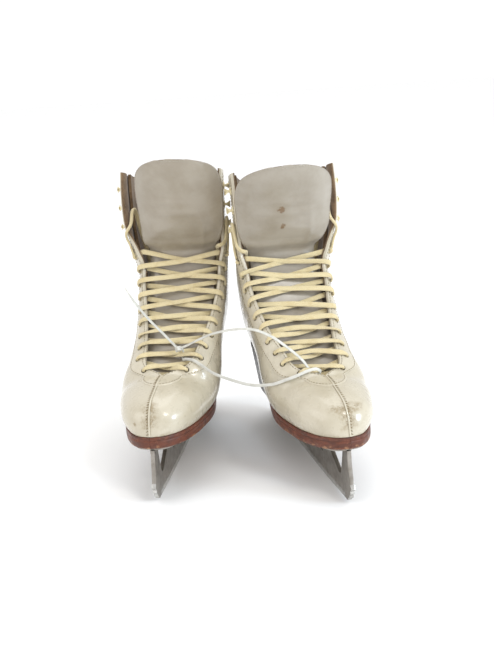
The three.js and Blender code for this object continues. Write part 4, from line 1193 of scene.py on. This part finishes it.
def blade_outlines():
    top, heel_top = TOE_PLATE_TOP - PLATE_THICK - GAP, HEEL_PLATE_TOP - PLATE_THICK - GAP
    outer = quadratic((6, top), (5, 30), (-1, 19)) + [list(p) for p in TOE_PICKS]
    for end in (14, BLADE_END - 6):
        curved = abs(end - ROCKER_MIDDLE) - ROCKER_FLAT
        for k in range(9):
            out = curved * (1 - k / 8 if end < ROCKER_MIDDLE else k / 8)
            y = ROCKER_MIDDLE + math.copysign(ROCKER_FLAT + out, end - ROCKER_MIDDLE)
            outer.append([y, out**2 / (2 * ROCKER_RADIUS)])
    outer += [[BLADE_END, 9], [BLADE_END - 2, 17]]
    outer += quadratic((BLADE_END - 2, 17), (246, 24), (243, heel_top))[1:]
    outer += quadratic((213, heel_top), (206, 26), (190, 22))
    outer += quadratic((80, 22), (88, 34), (103, top))
    hole = quadratic((19, top - 3), (23, 34), (26, 24))
    hole += quadratic((26, 24), (29, 19), (36, 22))[1:] + [[84, top - 3]]
    return outer, hole


def blade(skate):
    outer, hole = blade_outlines()
    verts, faces = bevelled_plate([outer, hole], BLADE_THICK, 0.35)
    points = np.stack([verts[:, 2], verts[:, 0], verts[:, 1]], axis=-1)
    shape = Shape().add(points, faces)
    centres = [np.mean(points[f], axis=0) for f in faces]
    # the running edge, and the toe picks' faces between the bevels
    shape.slots = [
        1 if c[2] < 1.2 or (c[1] < 13 and c[2] < 21 and abs(c[0]) < 1.93) else 0 for c in centres
    ]
    piece(skate, "runner", shape, [STEEL, GROUND], replaces=["blade"], sharp=30)
    # a shallow hollow-ground band along the running edge, on both faces
    band = Shape()
    y = np.linspace(16, 255, 120)
    low = np.maximum(np.abs(y - ROCKER_MIDDLE) - ROCKER_FLAT, 0) ** 2 / (2 * ROCKER_RADIUS)
    for side in (-1, 1):
        x0, x1 = side * (BLADE_THICK / 2 - 0.1), side * (BLADE_THICK / 2 + 0.12)
        soft = x1 - side * 0.1
        ring = [(x0, 0.7), (soft, 0.75), (x1, 1.2), (x1, 4.4), (soft, 4.8), (x0, 5.0)]
        rings = np.stack([np.stack([np.full(len(y), x), y, low + h], axis=-1) for x, h in ring], axis=1)
        band.tube(rings)
    piece(skate, "ground_band", band, [GROUND])


def oval(front, rear, half_front, half_rear):
    out, sides = [], 54
    for k in range(sides):
        angle = (k + 0.5) / sides * 2 * math.pi
        f = (1 - math.cos(angle)) / 2
        across = half_front + (half_rear - half_front) * f
        sine = math.sin(angle)
        out.append((across * math.copysign(abs(sine) ** 0.6, sine), front + (rear - front) * f))
    return out


# radius and height of a screw, from the middle of its domed head to its tip
SCREW_PROFILE = [(0.05, -1.8), (1.3, -1.75), (2.5, -1.45), (3.3, -0.9), (3.75, -0.25)]
SCREW_PROFILE += [(3.8, 0), (1.8, 0.02), (1.8, 9), (0.6, 12), (0.05, 12.1)]
BOX_FACES = [[0, 1, 2, 3], [4, 5, 6, 7], [0, 1, 5, 4], [1, 2, 6, 5], [2, 3, 7, 6], [3, 0, 4, 7]]


def plates(skate):
    for which, outline, top in (
        ("toe", oval(7, 104, 24, 27), TOE_PLATE_TOP),
        ("heel", oval(200, 249, 19, 14), HEEL_PLATE_TOP),
    ):
        verts, faces = bevelled_plate([outline], PLATE_THICK, 0.5)
        shape = Shape().add(verts + np.array([0, 0, top - PLATE_THICK / 2]), faces)
        piece(skate, f"{which}_mounting_plate", shape, [STEEL],
              replaces=[f"{which}_plate"], sharp=30)
    beads = Shape()
    for y0, y1, z in ((7.5, 18, TOE_PLATE_TOP - PLATE_THICK), (80, 102, TOE_PLATE_TOP - PLATE_THICK),
                      (214, 242.5, HEEL_PLATE_TOP - PLATE_THICK)):
        for side in (-1, 1):
            y = np.linspace(y0, y1, 26)
            wave = 0.12 * np.sin(y * 2.6)
            path = np.stack([np.full(26, side * (BLADE_THICK / 2 + 0.35)), y, z - 0.3 + wave], axis=-1)
            size = 0.95 * np.sin(np.linspace(0.35, math.pi - 0.35, 26)) ** 0.4
            beads.tube(ribbon(path, np.tile([1.0, 0, 0], (26, 1)), size, size, 10, 2))
    piece(skate, "weld_beads", beads, [STEEL], sharp=60)
    heads = [(f"toe_screw_{k + 1}", x, y, TOE_PLATE_TOP) for k, (x, y) in enumerate(TOE_SCREWS)]
    heads += [(f"heel_screw_{k + 1}", x, y, HEEL_PLATE_TOP) for k, (x, y) in enumerate(HEEL_SCREWS)]
    for k, (node, x, y, top) in enumerate(heads):
        under = top - PLATE_THICK - GAP
        turned = Shape().tube(lathe(SCREW_PROFILE, (x, y, under), (0, 0, 1), 28))
        obj = piece(skate, f"slotted_{node}", turned, [STEEL], replaces=[node])
        angle = 0.7 * k + 0.4
        way = np.array([math.cos(angle), math.sin(angle), 0])
        side = np.array([-math.sin(angle), math.cos(angle), 0])
        corners = [way * a * 4.5 + side * b * 0.45 + np.array([x, y, under - 2.6 + h]) for h in (0, 1.6)
                   for a, b in ((-1, -1), (1, -1), (1, 1), (-1, 1))]
        cut(obj, Shape().add(corners, BOX_FACES), skate)


# ---------- tongue ----------
def tongue_controls(skate):
    rows = []
    places = np.linspace(-1, 1, 9)
    for s in (6.8, 7.3, 8, 9, 10, 11, 12, 13, 14):
        tucks = {}
        for side in (MEDIAL, LATERAL):
            places_in = inset_t(side, s, [TONGUE_TUCK, TONGUE_TUCK / 2, 0])[0]
            tucks[side] = skin(side, s, places_in, np.full(3, TONGUE_DEPTH))
        left, rightwards = tucks[MEDIAL], tucks[LATERAL][::-1]
        line = np.concatenate([left, [(left[2] + rightwards[0]) / 2], rightwards])
        walked = lengths(line)
        even = (places + 1) / 2 * walked[-1]
        rows.append(np.stack([np.interp(even, walked, line[:, k]) for k in range(3)], axis=-1))
    for x, y, z, half, curl in FLAP_ROWS:
        trim = TONGUE_TRIM[skate] * smoothstep(200, 226, z) * half / 45
        x, half = x - trim, half - trim
        z = z + TONGUE_RISE[skate] * float(smoothstep(240, 285, z))
        across = x + half * np.sin(places * FLAP_WRAP) / math.sin(FLAP_WRAP)
        rows.append(np.stack([across, y + curl * places**2, np.full(9, z)], axis=-1))
    return np.array(rows)


def tongue_folds(skate, u, z):
    """Soft folds of the leather, in millimetres, over the place across and the height."""
    turn = 1 if skate == "right" else -1
    high = smoothstep(196, 215, z)
    folds = 0.8 * hump(u, turn * (0.0035 * (z - 215) - 0.52), 0.06) * hump(z, 220, 20)
    folds += 0.7 * hump(z, 241 + 5 * u * u, 3.2) * hump(u, 0.1, 0.45)
    folds += 0.6 * hump(z, 252 + 4 * u * u, 2.6) * hump(u, 0.15, 0.35)
    folds += 0.7 * hump(z, 227 - 6 * u, 3.5) * hump(u, 0.3, 0.4)
    folds -= 0.9 * hump(z, 213 - 3 * u, 4)
    folds += 0.8 * np.sin(z / 9 + 2.3 * u * turn) * np.cos(2.2 * u - 0.4) * 0.5
    return folds * high


def tongue_wear(skate, u, z):
    if skate == "right":
        return 0.35 * hump(z, 222, 5) * hump(u, 0.3, 0.12)
    return hump(z, 246, 3.6) * hump(u, -0.12, 0.075) + hump(z, 229, 3) * hump(u, -0.08, 0.06)


def tongue_seam(face, normal, first, from_left, from_base):
    """Stitches round the tongue's free edge, up one side from the first row, across and down."""
    last = len(face) - 1
    while from_base[-1] - from_base[last] < TONGUE_HEM:
        last -= 1

    def column(i, from_right):
        place = from_left[i, -1] - TONGUE_HEM if from_right else TONGUE_HEM
        return int(np.clip(np.searchsorted(from_left[i], place), 1, TONGUE_COLUMNS - 2))

    places = [(i, column(i, False)) for i in range(first, last)]
    places += [(last, j) for j in range(column(last, False), column(last, True))]
    places += [(i, column(i, True)) for i in range(last, first, -1)]
    i, j = np.array(places[::2]).T
    return stitches(densify(face[i, j], 3), densify(normal[i, j], 3), 3.2, 2.4, 0.26, lift=0.05)


def tongue(skate):
    controls = tongue_controls(skate)
    rows = np.linspace(0, len(controls) - 1, (len(controls) - 1) * 7 + 1)
    cols = np.linspace(0, 8, TONGUE_COLUMNS)
    fine = spline(controls, rows)
    front = np.moveaxis(spline(np.moveaxis(fine, 1, 0), cols), 0, 1)
    along, across = np.gradient(front, axis=0), np.gradient(front, axis=1)
    normal = unit(np.cross(across, along))
    normal *= np.sign(-normal[..., 1:2].mean())
    u = np.broadcast_to(np.linspace(-1, 1, TONGUE_COLUMNS)[None, :], front.shape[:2])
    middle = front[:, TONGUE_COLUMNS // 2]
    from_left = np.array([lengths(row) for row in front])
    from_base = lengths(middle)
    side_edge = np.minimum(from_left, from_left[:, -1:] - from_left)
    edge = np.minimum(side_edge, np.minimum(from_base, from_base[-1] - from_base + 0.6)[:, None])
    hem = 1.9 + 3.1 * smoothstep(4, 15, edge)
    round_off = rounded(edge, 0.9)
    thick = 0.1 + (hem - 0.1) * round_off
    folds = tongue_folds(skate, u, front[..., 2]) * smoothstep(2, 12, edge)
    face = front + normal * (folds + 0.22 * (thick - 1.9) - 0.8 * (1 - round_off))[..., None]
    rear = front - normal * (thick * 0.78 + 0.8 * (1 - round_off) - 0.5 * folds)[..., None]
    wear = tongue_wear(skate, u, front[..., 2])
    faces = grid_faces(*u.shape)
    shape = Shape().add(face, faces, 0, wear).add(rear, faces, 1, 0 * wear).join_borders(*u.shape)
    obj = piece(skate, "padded_tongue", shape, [TONGUES[skate], SUEDE],
                replaces=["tongue_lower", "tongue_flap"], sharp=60, ride=False)
    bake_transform(obj)
    first = int(np.argmin(np.abs(middle[:, 2] - TONGUE_SEAM_FOOT)))
    seam = tongue_seam(face, normal, first, from_left, from_base)
    obj = piece(skate, "tongue_stitches", seam, [GREY_THREAD], ride=False, sharp=60)
    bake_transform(obj)


# ---------- hooks and the cable tie ----------
HOOK_BASE = [(0.1, -0.3), (3.7, -0.3), (3.9, 0), (3.8, 0.4), (3.2, 0.75), (1.6, 0.8), (0.1, 0.8)]
HOOK_RIVET = [(0.05, 5.55), (1.2, 5.6), (1.5, 5.4), (1.5, 4.9), (0.1, 4.8)]
# height, reach away from the lace and half width along the bent strip
HOOK_STRIP = [(0.4, -1, 1.3), (2.2, -0.6, 1.35), (3.9, 0.4, 2.2)]
HOOK_STRIP += [(4.9, 1.7, 3.1), (5.3, 3.2, 3.3), (4.9, 4.3, 2.2)]


def hooks(skate):
    for side, which in SIDES:
        for k in range(3):
            s = hook_station(k)
            foot = FACING_RISE - 0.1 + (HOOK_LIFT if side == LATERAL else 0)
            base = on_quarter(side, s, HOOK_INSET, foot)
            out = unit(on_quarter(side, s, HOOK_INSET, 3) - on_quarter(side, s, HOOK_INSET, 0))
            rise = up_shaft(s)
            away = unit(np.cross(rise, out) * side)
            if (away @ (on_quarter(side, s, 14, 0) - on_quarter(side, s, 8, 0))) < 0:
                away = -away
            shape = Shape()
            shape.tube(lathe(HOOK_BASE, base, out, 24))
            # the bent strip: out from the base, over and back towards the boot
            path = densify([base + out * height + away * reach for height, reach, _ in HOOK_STRIP], 5)
            grow = densify([[half] for _, _, half in HOOK_STRIP], 5)[:, 0]
            shape.tube(ribbon(path, np.tile(rise, (len(path), 1)), grow, 0.45, 14, 2.6))
            shape.tube(lathe(HOOK_RIVET, base + away * 0.9, out, 16))
            piece(skate, f"speed_hook_{which}_{k + 1}", shape, [HOOK],
                  replaces=[f"hook_{which}_{k + 1}"], sharp=50)


def cable_tie():
    path = densify(TIE_ROUTE, 8)
    way = carried(path, (0.4, 1.0, 0.3))
    walked = lengths(path)
    taper = np.clip(walked / 14, 0.35, 1)
    shape = Shape().tube(ribbon(path, way, 1.4 * taper, 0.55, 12, 5))
    # teeth on the strap's inner face
    teeth = np.arange(16, 76, 1.3)
    tangent = unit(np.gradient(path, axis=0))
    for d in teeth:
        i = int(np.searchsorted(walked, d))
        n = np.cross(tangent[i], way[i])
        spine = path[i] + n * 0.42 + way[i] * np.array([-0.75, 0.75])[:, None]
        shape.tube(ribbon(spine, np.tile(tangent[i], (2, 1)), 0.28, 0.22, 6, 3))
    turn = (
        Matrix.Rotation(TIE_HEAD_TURN[2], 3, "Z")
        @ Matrix.Rotation(TIE_HEAD_TURN[1], 3, "Y")
        @ Matrix.Rotation(TIE_HEAD_TURN[0], 3, "X")
    )
    bm = bmesh.new()
    bmesh.ops.create_cube(bm, size=1)
    bmesh.ops.scale(bm, vec=TIE_HEAD, verts=bm.verts)
    rim = bmesh.ops.inset_region(bm, faces=[f for f in bm.faces if f.normal.z > 0.9], thickness=0.9)
    top = [f for f in bm.faces if f.normal.z > 0.9 and f not in rim["faces"]]
    bmesh.ops.translate(bm, vec=(0, 0, -1.4), verts=[v for f in top for v in f.verts])
    edges = list(bm.edges)
    bmesh.ops.bevel(bm, geom=edges, offset=0.35, segments=2, affect="EDGES", clamp_overlap=True)
    bm.verts.index_update()
    verts = np.array([(turn @ v.co)[:] for v in bm.verts]) + np.array(TIE_HEAD_CENTRE)
    shape.add(verts, [[v.index for v in f.verts] for f in bm.faces])
    bm.free()
    piece(None, "nylon_cable_tie", shape, [NYLON], replaces=["cable_tie"], sharp=40)


for name in SKATES:
    for side, which in SIDES:
        upper(name, side, which)
        facing(name, side, which)
        facing_stitches(name, side, which)
    toe_seam(name)
    backstay(name)
    lining(name)
    outsole(name)
    heel(name)
    footbed(name)
    blade(name)
    plates(name)
    tongue(name)
    hooks(name)
cable_tie()

# ---------- floor and light ----------
floor_finish = Finish("pale_floor", Specular_IOR_Level=0.2)
floor_finish.set(
    Base_Color=floor_finish.mix(floor_finish.noise(60, 3), (0.95,) * 3 + (1,), (0.94,) * 3 + (1,)),
    Roughness=floor_finish.curve(floor_finish.noise(8, 3), 0.3, 0.7, 0.8, 0.9),
)
floor_mesh = bpy.data.meshes.new("floor")
floor_mesh.from_pydata([(-4, -4, 0), (4, -4, 0), (4, 4, 0), (-4, 4, 0)], [], [(0, 1, 2, 3)])
floor_mesh.materials.append(floor_finish.material)
floor = link("floor", floor_mesh)


def area_light(name, place, target, size, power, colour=(1, 1, 1)):
    data = bpy.data.lights.new(name, "AREA")
    data.shape, data.size, data.energy, data.color = "DISK", size, power, colour
    light = link(name, data)
    light.location = place
    light.rotation_euler = (Vector(target) - Vector(place)).to_track_quat("-Z", "Y").to_euler()


area_light("key", (0.9, -1.3, 1.5), (0, 0, 0.12), 0.5, 9, (1.0, 0.98, 0.94))
area_light("cool_side", (1.3, -0.75, 0.55), (0.08, -0.1, 0.15), 0.45, 9, (0.72, 0.86, 1.0))
area_light("left_fill", (-1.5, -0.9, 1.1), (0, 0, 0.12), 1.2, 5)
area_light("top", (0.1, 0.3, 2.0), (0, 0, 0), 1.4, 7)
world = bpy.data.worlds.new("studio")
world.use_nodes = True
world.node_tree.nodes["Background"].inputs["Color"].default_value = (1, 1, 1, 1)
world.node_tree.nodes["Background"].inputs["Strength"].default_value = 1.04
bpy.context.scene.world = world
bpy.context.scene.view_settings.view_transform = "Standard"
